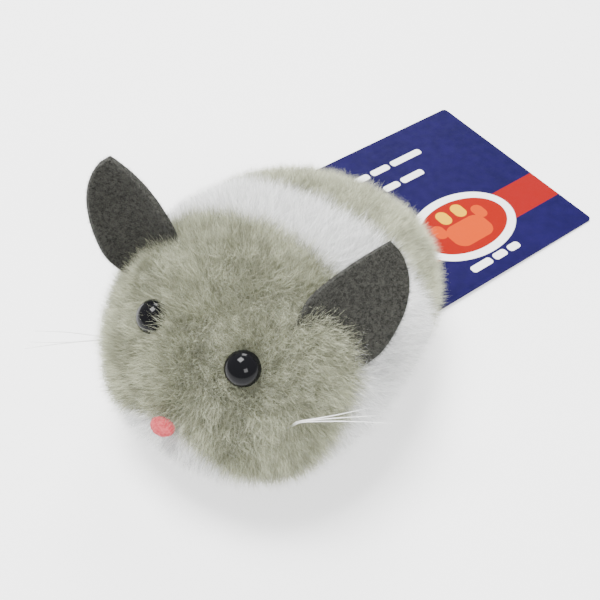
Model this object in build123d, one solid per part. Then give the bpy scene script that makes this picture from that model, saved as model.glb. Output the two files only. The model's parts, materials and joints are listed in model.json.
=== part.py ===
"""Plush clockwork mouse: fabric body, felt ears, clockwork movement, and a card tag on a loop.

Millimetres. +Z is up and the floor is Z = 0. The nose points towards -Y and +X is the mouse's left.
The origin is on the floor, under the middle of the movement.
"""

import math
import os

from build123d import *

os.makedirs("parts", exist_ok=True)

# ---------------------------------------------------------------- driving dimensions
# Body: the outer face of the fabric, what two turned forms share. Both have the same half profile,
# a chain of tangent arcs: nose, cheek, front flank, rear flank, rump. The lower form's axis is at
# BACK_AXIS_Z and gives the back, the higher one's at BELLY_AXIS_Z gives the tucked-in belly.
BODY_R = 28.0
BACK_AXIS_Z = 13.0
BELLY_AXIS_Z = 22.0
WIDEST_Y = -6.0
NOSE_Y = -34.5
RUMP_Y = 35.5
NOSE_ARC = 35.0
CHEEK_ARC = 20.0
FLANK_ARC = 40.0
RUMP_ARC = 19.0
FABRIC = 2.5
UNDERSIDE_Z = 4.6
SEAM_GAP = 0.1
WAD_GAP = 0.1
CUT = 1.0  # how far a cutting tool runs on past the faces that it cuts
FAR = 60.0  # a reach beyond the whole body
HIGH = 80.0  # a height over the whole body

# Seams: height of the belly seam, and the two seams that bound the saddle.
BELLY_SEAM_Z = 18.0
BELLY_SEAM_Y = -8.0
BELLY_SEAM_TILT = 9.0
SADDLE_FRONT_Y = -1.0
SADDLE_FRONT_Z = 41.0
SADDLE_FRONT_LEAN = 42.0
SADDLE_REAR_Y = 13.0

# Base plate and casing.
BASE_HALF_WIDTH = 16.0
BASE_FRONT_Y = -25.0
BASE_REAR_Y = 21.4
BASE_CORNER = 10.0
BASE_Z0 = 3.0
WELL = (-15.0, 15.0, -24.2, 20.6)
WELL_CORNER = 9.5
WELL_CUT_HEIGHT = 4.0
WELL_CLEARANCE = 0.6
CASING_HALF_WIDTH = 9.0
CASING_HALF_LENGTH = 19.7
CASING_TOP_Z = 30.0
CASING_CORNER = 4.0
CASING_WALL = 1.2
CASING_EDGE_R = 1.1
CASING_CLEARANCE = 0.2
WAD_CUT_MARGIN = 1.0
TAB_OVERLAP = 0.5
AXLE_SLOT_CLEARANCE = 0.5
WINDER_HOLE_CLEARANCE = 0.6
SCREW_R = 0.9
SCREW_HEAD_R = 1.8
SCREW_HEAD_THICK = 0.8
SCREW_HEAD_CLEARANCE = 0.1
CROSS_HALF_LENGTH = 1.2
CROSS_HALF_WIDTH = 0.2
CROSS_DEPTH = 0.35
TAB_R = 2.6
TAB_THICK = 1.6
TABS = [(0.0, -21.3), (12.0, 9.0), (-12.0, 9.0)]

# Movement plates and pillars.
PLATE_X = 7.0
PLATE_THICK = 0.8
PLATE_HALF_LENGTH = 17.0
PLATE_TOP_Z = 28.4
PLATE_CORNER = 1.5
PLATE_ROLLER_CLEARANCE = 0.6
PILLAR_R = 1.2
PILLAR_END_R = 0.72
PILLARS = [(5.0, 5.9), (15.2, 26.2), (-15.2, 26.4), (-15.3, 6.6)]
RUN_CLEARANCE = 0.05

# Gear train. All arbors lie along X; places are (y, z).
MODULE = 0.4
PRESSURE_ANGLE = 25.0
ADDENDUM = 0.9
DEDENDUM = 1.15
BACKLASH = 0.08
GREAT_TEETH = 48
WHEEL_TEETH = 40
PINION_TEETH = 12
GREAT_AT = (8.0, 17.0)
INTER_Z = 17.3
AXLE_Z = 8.0
ESCAPE_ANGLE = 155.0
FIRST_CENTRES = MODULE * (GREAT_TEETH + PINION_TEETH) / 2
SECOND_CENTRES = MODULE * (WHEEL_TEETH + PINION_TEETH) / 2
INTER_AT = (GREAT_AT[0] - math.sqrt(FIRST_CENTRES**2 - (INTER_Z - GREAT_AT[1]) ** 2), INTER_Z)
AXLE_AT = (INTER_AT[0] - math.sqrt(SECOND_CENTRES**2 - (INTER_Z - AXLE_Z) ** 2), AXLE_Z)
ESCAPE_AT = (
    INTER_AT[0] + SECOND_CENTRES * math.cos(math.radians(ESCAPE_ANGLE)),
    INTER_AT[1] + SECOND_CENTRES * math.sin(math.radians(ESCAPE_ANGLE)),
)
PALLET_AT = (ESCAPE_AT[0] - 0.6, ESCAPE_AT[1] - 6.4)
WHEEL_THICK = 1.2
GREAT_X = -0.9
SECOND_X = 3.2
ARBOR_R = 0.8
WINDER_R = 1.5
AXLE_R = 1.2
ARBOR_END = 0.4
PINION_OVERHANG = 0.3
FLANK_STEPS = 4
SPOKES = 5
GREAT_HOLES = (6.6, 1.3)  # the holes' circle radius and their own radius
INTER_HOLES = (4.6, 1.5)
HUB_HOLES = (3.7, 1.1)

# Mainspring, ratchet and click.
SPRING_TURNS = 6
SPRING_INNER_R = 2.1
SPRING_OUTER_R = 8.8
SPRING_THICK = 0.25
SPRING_X = (-6.2, -1.7)
SPRING_STEPS = 24
SPRING_TAIL_ANGLE = 60.0
SPRING_TAIL_STEPS = 8
SPRING_TAIL_POWER = 1.5
RATCHET_TEETH = 12
RATCHET_R = 3.3
RATCHET_ROOT_R = 2.7
RATCHET_PHASE = -37.0
RATCHET_LEAN = 0.85
RATCHET_GAP = 0.3
RATCHET_THICK = 1.0
CLICK_PIVOT_R = 5.6
CLICK_POST_R = 0.6
CLICK_POST_LENGTH = 1.6
CLICK_EYE_R = 1.1
CLICK_TOE = [(2.82, -35.5), (3.45, -40.0)]  # radius and angle
CLICK_HEEL = (3.5, -26.0)
CLICK_BACK = [(0.5, -1.0), (-0.5, 0.9)]  # from the pivot
LEAF_FOOT = (6.4, -84.0)
LEAF_FOOT_R = 0.5
LEAF_FOOT_SIDE = (0.2, -0.1)
LEAF_TIP = [(4.3, -2.2), (4.1, -2.05)]
LEAF_INSET = 0.1

# Escape wheel and pallet.
STAR_TEETH = 15
STAR_R = 3.4
STAR_ROOT_R = 2.3
STAR_X = (-1.0, 0.0)
PALLET_PIN_R = 0.3
PALLET_PIN_END_X = 0.2
PALLET_PIN_SPREAD = 35
PALLET_GAP = 0.35
PALLET_X = (-2.6, -1.6)
PALLET_BOSS_R = 1.6
PALLET_ARM_HALF = 0.7

# Wheels.
TYRE_R = 8.0
HUB_R = 6.0
WHEEL_X = (10.0, 13.4)
WHEEL_CLEARANCE = 0.6
WHEEL_ROOM = 1.0
TREAD_R = 0.7
AXLE_END = 0.6
ROLLER_AT = (15.0, 3.6)
ROLLER_R = 3.6
ROLLER_HALF = 4.0
ROLLER_PIN_R = 0.75
ROLLER_END_CLEARANCE = 0.4
ROLLER_SLOT_CLEARANCE = 0.5
ROLLER_CHAMFER = 0.5
LUG_THICK = 2.0
LUG_HALF = 1.8
LUG_DROP = 1.0
LUG_OVERLAP = 0.5

# Winding key, on the right flank.
KEY_X = (-32.9, -28.7)
KEY_SPAN = 6.5
KEY_SOCKET = 0.8
KEY_HUB_R = 2.7
KEY_HUB_INSET = 0.2
KEY_WING_THICK = 1.4
KEY_WING_ROUND = 0.45
KEY_WING_HOLE = (4.6, 0.8)
WINDER_END = 0.8
SLEEVE_GAP = 1.6
SLEEVE_R = 3.2
SLEEVE_BORE = 2.3

# Face.
EYE_PLACE = (9.9, -23.9)
EYE_R = 3.3
EYE_PROUD = 2.5
SHANK_R = 0.9
WASHER_R = 2.6
WASHER_THICK = 0.8
WASHER_GAP = 0.35
NOSE_PROUD = 2.2
NOSE_Z = 22.5
NOSE_SIZE = (2.6, 2.2, 1.6)
WHISKER_R = 0.2
WHISKER_ROOT = (19.5, -25.5)
WHISKER_RUNS = {
    1: [(16.0, 8.3, 3.1), (11.7, 7.8, 4.8), (13.0, 9.5, 1.2)],
    -1: [(-13.4, -5.0, -2.2), (-13.4, -6.7, -3.4), (-13.9, -8.1, -4.2)],
}
WHISKER_SPARE = 5.0
STALK_R = 0.7
BUTTON_R = 1.6
BUTTON_THICK = 0.7
KNOT_DEPTH = 0.9
STALK_OVERLAP = 0.1
STALK_PROUD = 0.6
WHISKER_RISE = 0.3

# Ears: leaves cut from felt, each with its own lean and curl.
EAR_LENGTH = 22.5
EAR_WIDTH = 17.0
FELT = 1.4
EAR_BASE = (19.5, -12.5, 34.5)
EAR_ROOT = 5.0
EAR_ROOT_HALF = 0.45  # edge places are shares of the half width, and of the length
EAR_STRAIGHT_EDGE = [(0.60, 0.66), (0.88, 0.30)]
EAR_FULL_EDGE = [(0.84, 0.70), (1.0, 0.32)]
EAR_BEND_DEPTH = 12.0
EAR_BEND_FOOT = 8.0
EAR_POSES = {
    "left": (1, (0.84, 0.47, -0.25), (4.6, 15.7, 18.5), 34.0),
    "right": (-1, (0.86, 0.45, 0.2), (-7.8, 1.1, 18.6), 10.0),
}

# Card tag, flat on the floor behind the rump.
TAG_SIZE = (57.5, 59.0)
TAG_THICK = 0.45
TAG_CORNER = 1.2
TAG_TURN = -20.5
TAG_MIDDLE = (5.6, 66.2)
TAG_HOLE_R = 2.0
TAG_HOLE_INSET = 4.0
TAG_HOLE_Z = 0.9
LOOP_R = 0.3
LOOP_PIN_R = 0.4
ANCHOR_Z = 10.0
ANCHOR_REACH = 10.7
ANCHOR_ROOT = (-3.0, 20.0, 10.0)
STEM_START = 1.6
STEM_R = 1.0
STEM_LENGTH = 9.0
BARB_START = 8.2
BARB_R = 2.0
BARB_THICK = 0.8
CLEVIS_HALF = 1.1
CLEVIS_GAP_HALF = 0.5
CLEVIS_BACK = 1.9
CLEVIS_WEB = 1.3
CLEVIS_FRONT = 0.8
CLEVIS_HALF_HEIGHT = 0.8
WEB_HALF_HEIGHT = 1.0
LOOP_CORNERS = [(-0.9, 10.9), (0.95, 10.9), (10.7, 2.4), (10.7, 0.35), (5.7, 0.35), (-0.9, 9.0)]
LOOP_CORNER_R = [0.8, 0.8, 0.9, 0.9, 1.2, 0.8]


# ---------------------------------------------------------------- helpers
def save(name, shape):
    """Writes one sub-part as a single solid."""
    solids = shape.solids()
    if len(solids) != 1:
        raise ValueError(f"{name} has {len(solids)} solids")
    solid = solids[0]
    solid.label = name
    export_step(solid, f"parts/{name}.step")


def largest(shape):
    """The biggest solid of a cut, without the crumbs that a cut may leave."""
    return max(shape.solids(), key=lambda s: s.volume)


def rod(x0, x1, radius, at):
    """A round bar along X, centred on the (y, z) place."""
    plane = Plane(origin=(x0, at[0], at[1]), x_dir=(0, 1, 0), z_dir=(1, 0, 0))
    return extrude(plane * Circle(radius), amount=x1 - x0)


def pipe(x0, x1, outer, inner, at):
    """A round tube along X."""
    return rod(x0, x1, outer, at) - rod(x0 - CUT, x1 + CUT, inner, at)


def slab(x0, x1, outline, at):
    """A plate square to X whose outline is a list of (y, z) points about a place."""
    plane = Plane(origin=(x0, at[0], at[1]), x_dir=(0, 1, 0), z_dir=(1, 0, 0))
    return extrude(plane * make_face(Polyline(*outline, close=True)), amount=x1 - x0)


def block(x0, x1, y0, y1, z0, z1):
    """A box from its low and high faces."""
    return Pos((x0 + x1) / 2, (y0 + y1) / 2, (z0 + z1) / 2) * Box(x1 - x0, y1 - y0, z1 - z0)


def rounded(x0, x1, y0, y1, radius, z0, z1):
    """An upright block with rounded corners."""
    sketch = Pos((x0 + x1) / 2, (y0 + y1) / 2, z0) * RectangleRounded(x1 - x0, y1 - y0, radius)
    return extrude(sketch, amount=z1 - z0)


def polar(radius, degrees):
    """A (y, z) point from a radius and an angle."""
    angle = math.radians(degrees)
    return (radius * math.cos(angle), radius * math.sin(angle))


# ---------------------------------------------------------------- body shapes
def profile_arcs():
    """The half profile's arcs as (centre y, centre r, radius, y where it starts, y where it ends)."""
    nose_y = NOSE_Y + NOSE_ARC
    flank_r = BODY_R - FLANK_ARC
    span = Vector(WIDEST_Y - nose_y, flank_r)
    gap = span.length
    to_nose = NOSE_ARC - CHEEK_ARC
    to_flank = FLANK_ARC - CHEEK_ARC
    along = (to_nose**2 - to_flank**2 + gap**2) / (2 * gap)
    aside = math.sqrt(to_nose**2 - along**2)
    unit = span.normalized()
    cheek_y = nose_y + unit.X * along + unit.Y * aside
    cheek_r = unit.Y * along - unit.X * aside
    length = RUMP_Y - WIDEST_Y
    rear_arc = (BODY_R**2 + length**2 - 2 * length * RUMP_ARC) / (2 * (BODY_R - RUMP_ARC))
    rump_y = RUMP_Y - RUMP_ARC
    rear_r = BODY_R - rear_arc

    def tangent_y(cy, cr, radius, other_y, other_r):
        return cy + radius * (other_y - cy) / math.hypot(other_y - cy, other_r - cr)

    join_1 = tangent_y(nose_y, 0.0, NOSE_ARC, cheek_y, cheek_r)
    join_2 = tangent_y(WIDEST_Y, flank_r, FLANK_ARC, cheek_y, cheek_r)
    join_3 = tangent_y(WIDEST_Y, rear_r, rear_arc, rump_y, 0.0)
    return [
        (nose_y, 0.0, NOSE_ARC, NOSE_Y, join_1),
        (cheek_y, cheek_r, CHEEK_ARC, join_1, join_2),
        (WIDEST_Y, flank_r, FLANK_ARC, join_2, WIDEST_Y),
        (WIDEST_Y, rear_r, rear_arc, WIDEST_Y, join_3),
        (rump_y, 0.0, RUMP_ARC, join_3, RUMP_Y),
    ]


def arc_point(arc, y, inset):
    """The inset arc's point that belongs to the station y of the outer arc, as (y, r)."""
    cy, cr, radius = arc[:3]
    rise = math.sqrt(max(radius**2 - (y - cy) ** 2, 0.0))
    share = (radius - inset) / radius
    return (cy + (y - cy) * share, cr + rise * share)


def profile_curve(inset):
    """The half profile, moved in by inset, as a chain of arcs; with its two ends on the axis."""
    curve = None
    for arc in profile_arcs():
        ends = [arc_point(arc, y, inset) for y in arc[3:]]
        middle_y = (arc[3] + arc[4]) / 2
        piece = ThreePointArc(ends[0], arc_point(arc, middle_y, inset), ends[1])
        curve = piece if curve is None else curve + piece
    return curve, (NOSE_Y + inset, 0.0), (RUMP_Y - inset, 0.0)


def body_form(inset):
    """The whole closed body form, moved in by inset."""
    curve, nose_end, rump_end = profile_curve(inset)
    turned = Rot(0, 0, 90) * revolve(make_face(curve + Line(rump_end, nose_end)), axis=Axis.X)
    return (Pos(0, 0, BACK_AXIS_Z) * turned) & (Pos(0, 0, BELLY_AXIS_Z) * turned)


def skin_point(x, y):
    """The point on the upper body at (x, y), and its outward normal."""

    def height(px, py):
        arc = next(a for a in profile_arcs() if py <= a[4])
        radius = arc[1] + math.sqrt(arc[2] ** 2 - (py - arc[0]) ** 2)
        return BACK_AXIS_Z + math.sqrt(radius**2 - px**2)

    step = 0.05
    dx = (height(x + step, y) - height(x - step, y)) / (2 * step)
    dy = (height(x, y + step) - height(x, y - step)) / (2 * step)
    return Vector(x, y, height(x, y)), Vector(-dx, -dy, 1).normalized()


def tilted_block(point, normal, reach=160.0):
    """A big block whose flat face passes through point; it lies on the side the normal points to."""
    plane = Plane(origin=point, z_dir=normal)
    return extrude(plane * Rectangle(reach, reach), amount=reach)


# ---------------------------------------------------------------- gears
def involute(angle):
    """The involute function of an angle in radians."""
    return math.tan(angle) - angle


def gear_outline(teeth, phase):
    """The outline of a spur gear, with a tooth centred on the phase angle in degrees."""
    pitch_r = MODULE * teeth / 2
    pressure = math.radians(PRESSURE_ANGLE)
    base_r = pitch_r * math.cos(pressure)
    tip_r = pitch_r + ADDENDUM * MODULE
    root_r = pitch_r - DEDENDUM * MODULE
    half = math.pi / (2 * teeth) - BACKLASH / (4 * pitch_r)
    start = max(base_r, root_r)
    flank = []
    for k in range(FLANK_STEPS + 1):
        r = start + (tip_r - start) * k / FLANK_STEPS
        turn = half + involute(pressure) - involute(math.acos(min(1.0, base_r / r)))
        flank.append((r, turn))
    points = []
    for t in range(teeth):
        centre = math.radians(phase) + 2 * math.pi * t / teeth
        side = [(root_r, flank[0][1])] + flank if start > root_r else flank
        path = [(r, -a) for r, a in side] + [(r, a) for r, a in reversed(side)]
        points += [(r * math.cos(centre + a), r * math.sin(centre + a)) for r, a in path]
    return points


def mesh_phase(driver_teeth, driver_phase, driven_teeth, bearing):
    """The phase that puts a driven gear's gap on the driver's tooth, along the bearing in degrees."""
    pitch = 360 / driver_teeth
    offset = (bearing - driver_phase) / pitch
    offset -= math.floor(offset)
    return bearing + 180 + (offset + 0.5) * 360 / driven_teeth


def bearing_of(start, end):
    """The direction from one arbor to another, in degrees in the (y, z) plane."""
    return math.degrees(math.atan2(end[1] - start[1], end[0] - start[0]))


def gear(teeth, phase, x0, thick, bore, at):
    """A spur gear on a bore."""
    return slab(x0, x0 + thick, gear_outline(teeth, phase), at) - rod(x0 - CUT, x0 + thick + CUT, bore, at)


def lightened(wheel, x0, x1, holes, phase, at):
    """A wheel with a ring of round holes, given as the ring's radius and the holes' own."""
    for k in range(SPOKES):
        hole_y, hole_z = polar(holes[0], phase + 360 * k / SPOKES)
        wheel = wheel - rod(x0 - CUT, x1 + CUT, holes[1], (at[0] + hole_y, at[1] + hole_z))
    return wheel


def sawtooth(teeth, tip_r, root_r, phase, lean):
    """An outline of pointed teeth whose tips lean round by a share of the pitch."""
    points = []
    for t in range(teeth):
        points.append(polar(root_r, phase + 360 * t / teeth))
        points.append(polar(tip_r, phase + 360 * (t + lean) / teeth))
    return points


# ---------------------------------------------------------------- body: fabric, stuffing, face, ears
def well_room(clear, top):
    """The upright space over the base plate that holds the wheels and the casing's tabs."""
    x0, x1, y0, y1 = WELL
    return rounded(x0 - clear, x1 + clear, y0 - clear, y1 + clear, WELL_CORNER, 0, top)


print("body")
outer = body_form(0.0)
above = block(-FAR, FAR, -FAR, FAR, UNDERSIDE_Z, HIGH)
under_sheet = outer & block(-FAR, FAR, -FAR, FAR, UNDERSIDE_Z, UNDERSIDE_Z + FABRIC)
shell = (outer - body_form(FABRIC)) & above
shell = (shell + under_sheet) - well_room(0.0, UNDERSIDE_Z + WELL_CUT_HEIGHT)

belly_normal = Vector(0, math.sin(math.radians(BELLY_SEAM_TILT)), math.cos(math.radians(BELLY_SEAM_TILT)))
belly_point = Vector(0, BELLY_SEAM_Y, BELLY_SEAM_Z)
over_belly = tilted_block(belly_point + belly_normal * (SEAM_GAP / 2), belly_normal)
under_belly = tilted_block(belly_point - belly_normal * (SEAM_GAP / 2), -belly_normal)
lean = math.radians(SADDLE_FRONT_LEAN)
front_normal = Vector(0, -math.cos(lean), math.sin(lean))
front_point = Vector(0, SADDLE_FRONT_Y, SADDLE_FRONT_Z)
ahead_of_saddle = tilted_block(front_point + front_normal * (SEAM_GAP / 2), front_normal)
behind_front = tilted_block(front_point - front_normal * (SEAM_GAP / 2), -front_normal)
rump_side = tilted_block((0, SADDLE_REAR_Y + SEAM_GAP / 2, 0), (0, 1, 0))
before_rump = tilted_block((0, SADDLE_REAR_Y - SEAM_GAP / 2, 0), (0, -1, 0))

# Face fittings, worked out first because the fabric and stuffing are pierced for them.
point, normal = skin_point(*EYE_PLACE)
centre = point + normal * EYE_PROUD
inward = Plane(origin=centre, z_dir=-normal)
shank = extrude(inward * Circle(SHANK_R), amount=EYE_PROUD + FABRIC + WASHER_GAP + 2 * WASHER_THICK)
washer_at = Plane(origin=point - normal * (FABRIC + WASHER_GAP), z_dir=-normal)
washer = extrude(washer_at * (Circle(WASHER_R) - Circle(SHANK_R)), amount=WASHER_THICK)
bead = largest(Pos(centre) * Sphere(EYE_R) - outer)
left_eye = (bead + shank, shank, washer)
eyes = {"left": left_eye, "right": tuple(mirror(piece, about=Plane.YZ) for piece in left_eye)}

sleeve = pipe(KEY_X[1] + SLEEVE_GAP, -CASING_HALF_WIDTH, SLEEVE_R, SLEEVE_BORE, GREAT_AT)
sleeve_hole = rod(KEY_X[0], -CASING_HALF_WIDTH + CUT, SLEEVE_R, GREAT_AT)

turn = math.radians(TAG_TURN)
tag_across = Vector(math.cos(turn), math.sin(turn), 0)
tag_along = Vector(-math.sin(turn), math.cos(turn), 0)
hole_at = Vector(*TAG_MIDDLE, 0) - tag_along * (TAG_SIZE[1] / 2 - TAG_HOLE_INSET)
anchor_at = hole_at - tag_along * ANCHOR_REACH + Vector(0, 0, ANCHOR_Z)
stem_start = anchor_at - tag_along * STEM_START
stem_plane = Plane(origin=stem_start, z_dir=Vector(*ANCHOR_ROOT) - stem_start)
anchor_stem = extrude(stem_plane * Circle(STEM_R), amount=STEM_LENGTH)
anchor_barb = extrude(stem_plane.offset(BARB_START) * Circle(BARB_R), amount=BARB_THICK)

face_cuts = [eyes[k][1] for k in eyes]
whisker_cuts = []
whiskers = {}
for side, label in ((1, "left"), (-1, "right")):
    root, normal = skin_point(side * WHISKER_ROOT[0], WHISKER_ROOT[1])
    knot = root - normal * (FABRIC + KNOT_DEPTH)
    button = extrude(Plane(origin=knot, z_dir=-normal) * Circle(BUTTON_R), amount=BUTTON_THICK)
    stalk_length = STALK_OVERLAP + KNOT_DEPTH + FABRIC + STALK_PROUD
    stalk_at = Plane(origin=knot - normal * STALK_OVERLAP, z_dir=normal)
    stalk = extrude(stalk_at * Circle(STALK_R), amount=stalk_length)
    bundle = button + stalk
    for run in WHISKER_RUNS[side]:
        start = root + normal * WHISKER_RISE
        line = Vector(*run)
        hair = Plane(origin=start, z_dir=line) * Circle(WHISKER_R)
        bundle += extrude(hair, amount=line.length + WHISKER_SPARE)
    whiskers[label] = bundle
    whisker_cuts += [button, stalk]


def pierced(shape, cuts):
    """A shape with each of the cutting tools taken out of it."""
    for cut in cuts:
        shape = shape - cut
    return largest(shape)


upper = shell & over_belly
save("head_panel", pierced(upper & ahead_of_saddle, face_cuts + whisker_cuts))
save("saddle_panel", pierced(upper & behind_front & before_rump, [sleeve_hole]))
save("rump_panel", pierced(upper & rump_side, []))
save("belly_panel", pierced(shell & under_belly, [sleeve_hole, anchor_stem]))

print("stuffing")
wheel_top = AXLE_Z + TYRE_R + WHEEL_ROOM
casing_x = CASING_HALF_WIDTH + CASING_CLEARANCE
casing_y = CASING_HALF_LENGTH + CASING_CLEARANCE
casing_block = block(-casing_x, casing_x, -casing_y, casing_y, 0, CASING_TOP_Z + CASING_CLEARANCE)
lining_z = UNDERSIDE_Z + FABRIC + WAD_GAP
filling = body_form(FABRIC + WAD_GAP) & block(-FAR, FAR, -FAR, FAR, lining_z, HIGH)
filling = filling - well_room(WELL_CLEARANCE, wheel_top)
wad_cut = CASING_HALF_LENGTH + WAD_CUT_MARGIN
washers = [eyes[name][2] for name in eyes]
head_half = filling & block(-FAR, FAR, -FAR, -wad_cut, 0, HIGH)
save("head_wad", pierced(head_half, face_cuts + whisker_cuts + washers))
middle = filling & block(-FAR, FAR, -wad_cut + WAD_GAP, wad_cut - WAD_GAP, 0, HIGH)
save("back_wad", pierced(middle, [casing_block, sleeve_hole] + face_cuts + whisker_cuts + washers))
rear_half = filling & block(-FAR, FAR, wad_cut, FAR, 0, HIGH)
save("rump_wad", pierced(rear_half, [anchor_stem, anchor_barb]))

for label in eyes:
    save(f"eye_{label}", eyes[label][0])
    save(f"eye_washer_{label}", eyes[label][2])
    save(f"whiskers_{label}", whiskers[label])
nose = Pos(0, NOSE_Y - NOSE_PROUD, NOSE_Z) * scale(Sphere(1.0), by=NOSE_SIZE)
save("nose", largest(nose - outer))


def ear(side, across, along, curl_r):
    """A felt leaf that stands on the head, bent about its long axis to the curl radius."""
    long_axis = Vector(*along).normalized()
    wide = Vector(*across)
    wide = (wide - long_axis * wide.dot(long_axis)).normalized()
    face_normal = wide.cross(long_axis)
    base = Vector(side * EAR_BASE[0], EAR_BASE[1], EAR_BASE[2])
    sheet = Plane(origin=base - face_normal * EAR_BEND_DEPTH, x_dir=wide, z_dir=face_normal)
    half = EAR_WIDTH / 2
    edges = {-side: EAR_STRAIGHT_EDGE, side: EAR_FULL_EDGE}
    roots = {end: (end * half * EAR_ROOT_HALF, -EAR_ROOT) for end in edges}
    outline = Line(roots[-1], roots[1])
    for end, shares in edges.items():
        places = [(end * half * share, EAR_LENGTH * rise) for share, rise in shares]
        outline += Spline((0, EAR_LENGTH), *places, roots[end])
    leaf = extrude(sheet * make_face(outline), amount=2 * EAR_BEND_DEPTH)
    foot = base - long_axis * EAR_BEND_FOOT
    reach = EAR_LENGTH + EAR_BEND_DEPTH
    bend = Plane(origin=foot + face_normal * (curl_r + FELT / 2), x_dir=wide, z_dir=long_axis)
    tube = extrude(bend * (Circle(curl_r + FELT) - Circle(curl_r)), amount=reach)
    near_at = Plane(origin=foot + face_normal * (curl_r / 2), x_dir=wide, z_dir=long_axis)
    near = extrude(near_at * Rectangle(4 * curl_r, curl_r + 2 * FELT + CUT), amount=reach)
    return largest((leaf & tube & near) - outer)


print("ears")
for label, pose in EAR_POSES.items():
    save(f"ear_{label}", ear(*pose))

print("chassis")
wells = None
for side in (-1, 1):
    x0, x1 = sorted((side * (WHEEL_X[0] - WHEEL_CLEARANCE), side * (WHEEL_X[1] + WHEEL_CLEARANCE)))
    well = block(x0, x1, AXLE_AT[0] - TYRE_R, AXLE_AT[0] + TYRE_R, BASE_Z0 - CUT, UNDERSIDE_Z + CUT)
    wells = well if wells is None else wells + well
roller_side = ROLLER_HALF + ROLLER_END_CLEARANCE
roller_room = ROLLER_R + ROLLER_SLOT_CLEARANCE
roller_slot = block(
    -roller_side,
    roller_side,
    ROLLER_AT[0] - roller_room,
    ROLLER_AT[0] + roller_room,
    0,
    UNDERSIDE_Z + CUT,
)
base = rounded(
    -BASE_HALF_WIDTH, BASE_HALF_WIDTH, BASE_FRONT_Y, BASE_REAR_Y, BASE_CORNER, BASE_Z0, UNDERSIDE_Z
)
base = base - wells - roller_slot
for side in (-1, 1):
    lug_x0, lug_x1 = sorted((side * roller_side, side * (roller_side + LUG_THICK)))
    lug_y0, lug_y1 = ROLLER_AT[0] - LUG_HALF, ROLLER_AT[0] + LUG_HALF
    lug = block(lug_x0, lug_x1, lug_y0, lug_y1, BASE_Z0 - LUG_DROP, BASE_Z0 + LUG_OVERLAP)
    base = base + lug
base = base - rod(-CASING_HALF_WIDTH, CASING_HALF_WIDTH, ROLLER_PIN_R, ROLLER_AT)
for x, y in TABS:
    base = base - Pos(x, y, 0) * Cylinder(SCREW_R, HIGH)
    base = base - Pos(x, y, BASE_Z0) * Cylinder(SCREW_HEAD_R + SCREW_HEAD_CLEARANCE, 2 * SCREW_HEAD_THICK)
save("base_plate", base)

casing = rounded(
    -CASING_HALF_WIDTH,
    CASING_HALF_WIDTH,
    -CASING_HALF_LENGTH,
    CASING_HALF_LENGTH,
    CASING_CORNER,
    UNDERSIDE_Z,
    CASING_TOP_Z,
)
casing = fillet(casing.faces().sort_by(Axis.Z)[-1].edges(), CASING_EDGE_R)
tab_top = UNDERSIDE_Z + TAB_THICK
for x, y in TABS:
    casing = casing + Pos(x, y, UNDERSIDE_Z + TAB_THICK / 2) * Cylinder(TAB_R, TAB_THICK)
    if x:
        x0, x1 = sorted((x, math.copysign(CASING_HALF_WIDTH - TAB_OVERLAP, x)))
        casing = casing + block(x0, x1, y - TAB_R, y + TAB_R, UNDERSIDE_Z, tab_top)
    else:
        casing = casing + block(-TAB_R, TAB_R, y, -CASING_HALF_LENGTH + TAB_OVERLAP, UNDERSIDE_Z, tab_top)
hollow = rounded(
    -CASING_HALF_WIDTH + CASING_WALL,
    CASING_HALF_WIDTH - CASING_WALL,
    -CASING_HALF_LENGTH + CASING_WALL,
    CASING_HALF_LENGTH - CASING_WALL,
    CASING_CORNER - CASING_WALL,
    UNDERSIDE_Z - CUT,
    CASING_TOP_Z - CASING_WALL,
)
casing = casing - hollow
for x, y in TABS:
    casing = casing - Pos(x, y, UNDERSIDE_Z) * Cylinder(SCREW_R, HIGH / 4)
slot_half = AXLE_R + AXLE_SLOT_CLEARANCE
casing = casing - rod(-FAR, FAR, slot_half, AXLE_AT)
casing = casing - block(-FAR, FAR, AXLE_AT[0] - slot_half, AXLE_AT[0] + slot_half, 0, AXLE_Z)
casing = casing - rod(-FAR, 0, WINDER_R + WINDER_HOLE_CLEARANCE, GREAT_AT)
save("casing", casing)

for n, (x, y) in enumerate(TABS):
    head = Pos(x, y, BASE_Z0 + SCREW_HEAD_THICK / 2) * Cylinder(SCREW_HEAD_R, SCREW_HEAD_THICK)
    shaft_middle = (BASE_Z0 + tab_top + SCREW_HEAD_THICK) / 2
    shaft = Pos(x, y, shaft_middle) * Cylinder(SCREW_R, tab_top - BASE_Z0)
    long, thin = CROSS_HALF_LENGTH, CROSS_HALF_WIDTH
    cross = block(x - long, x + long, y - thin, y + thin, BASE_Z0 - CUT, BASE_Z0 + CROSS_DEPTH)
    cross += block(x - thin, x + thin, y - long, y + long, BASE_Z0 - CUT, BASE_Z0 + CROSS_DEPTH)
    save(f"screw_{n + 1}", head + shaft - cross)

save("roller_pin", rod(-roller_side - LUG_THICK, roller_side + LUG_THICK, ROLLER_PIN_R, ROLLER_AT))
roller = pipe(-ROLLER_HALF, ROLLER_HALF, ROLLER_R, ROLLER_PIN_R + RUN_CLEARANCE, ROLLER_AT)
save("roller", chamfer(roller.edges().filter_by(GeomType.CIRCLE).sort_by(Edge.length)[-2:], ROLLER_CHAMFER))

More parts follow.
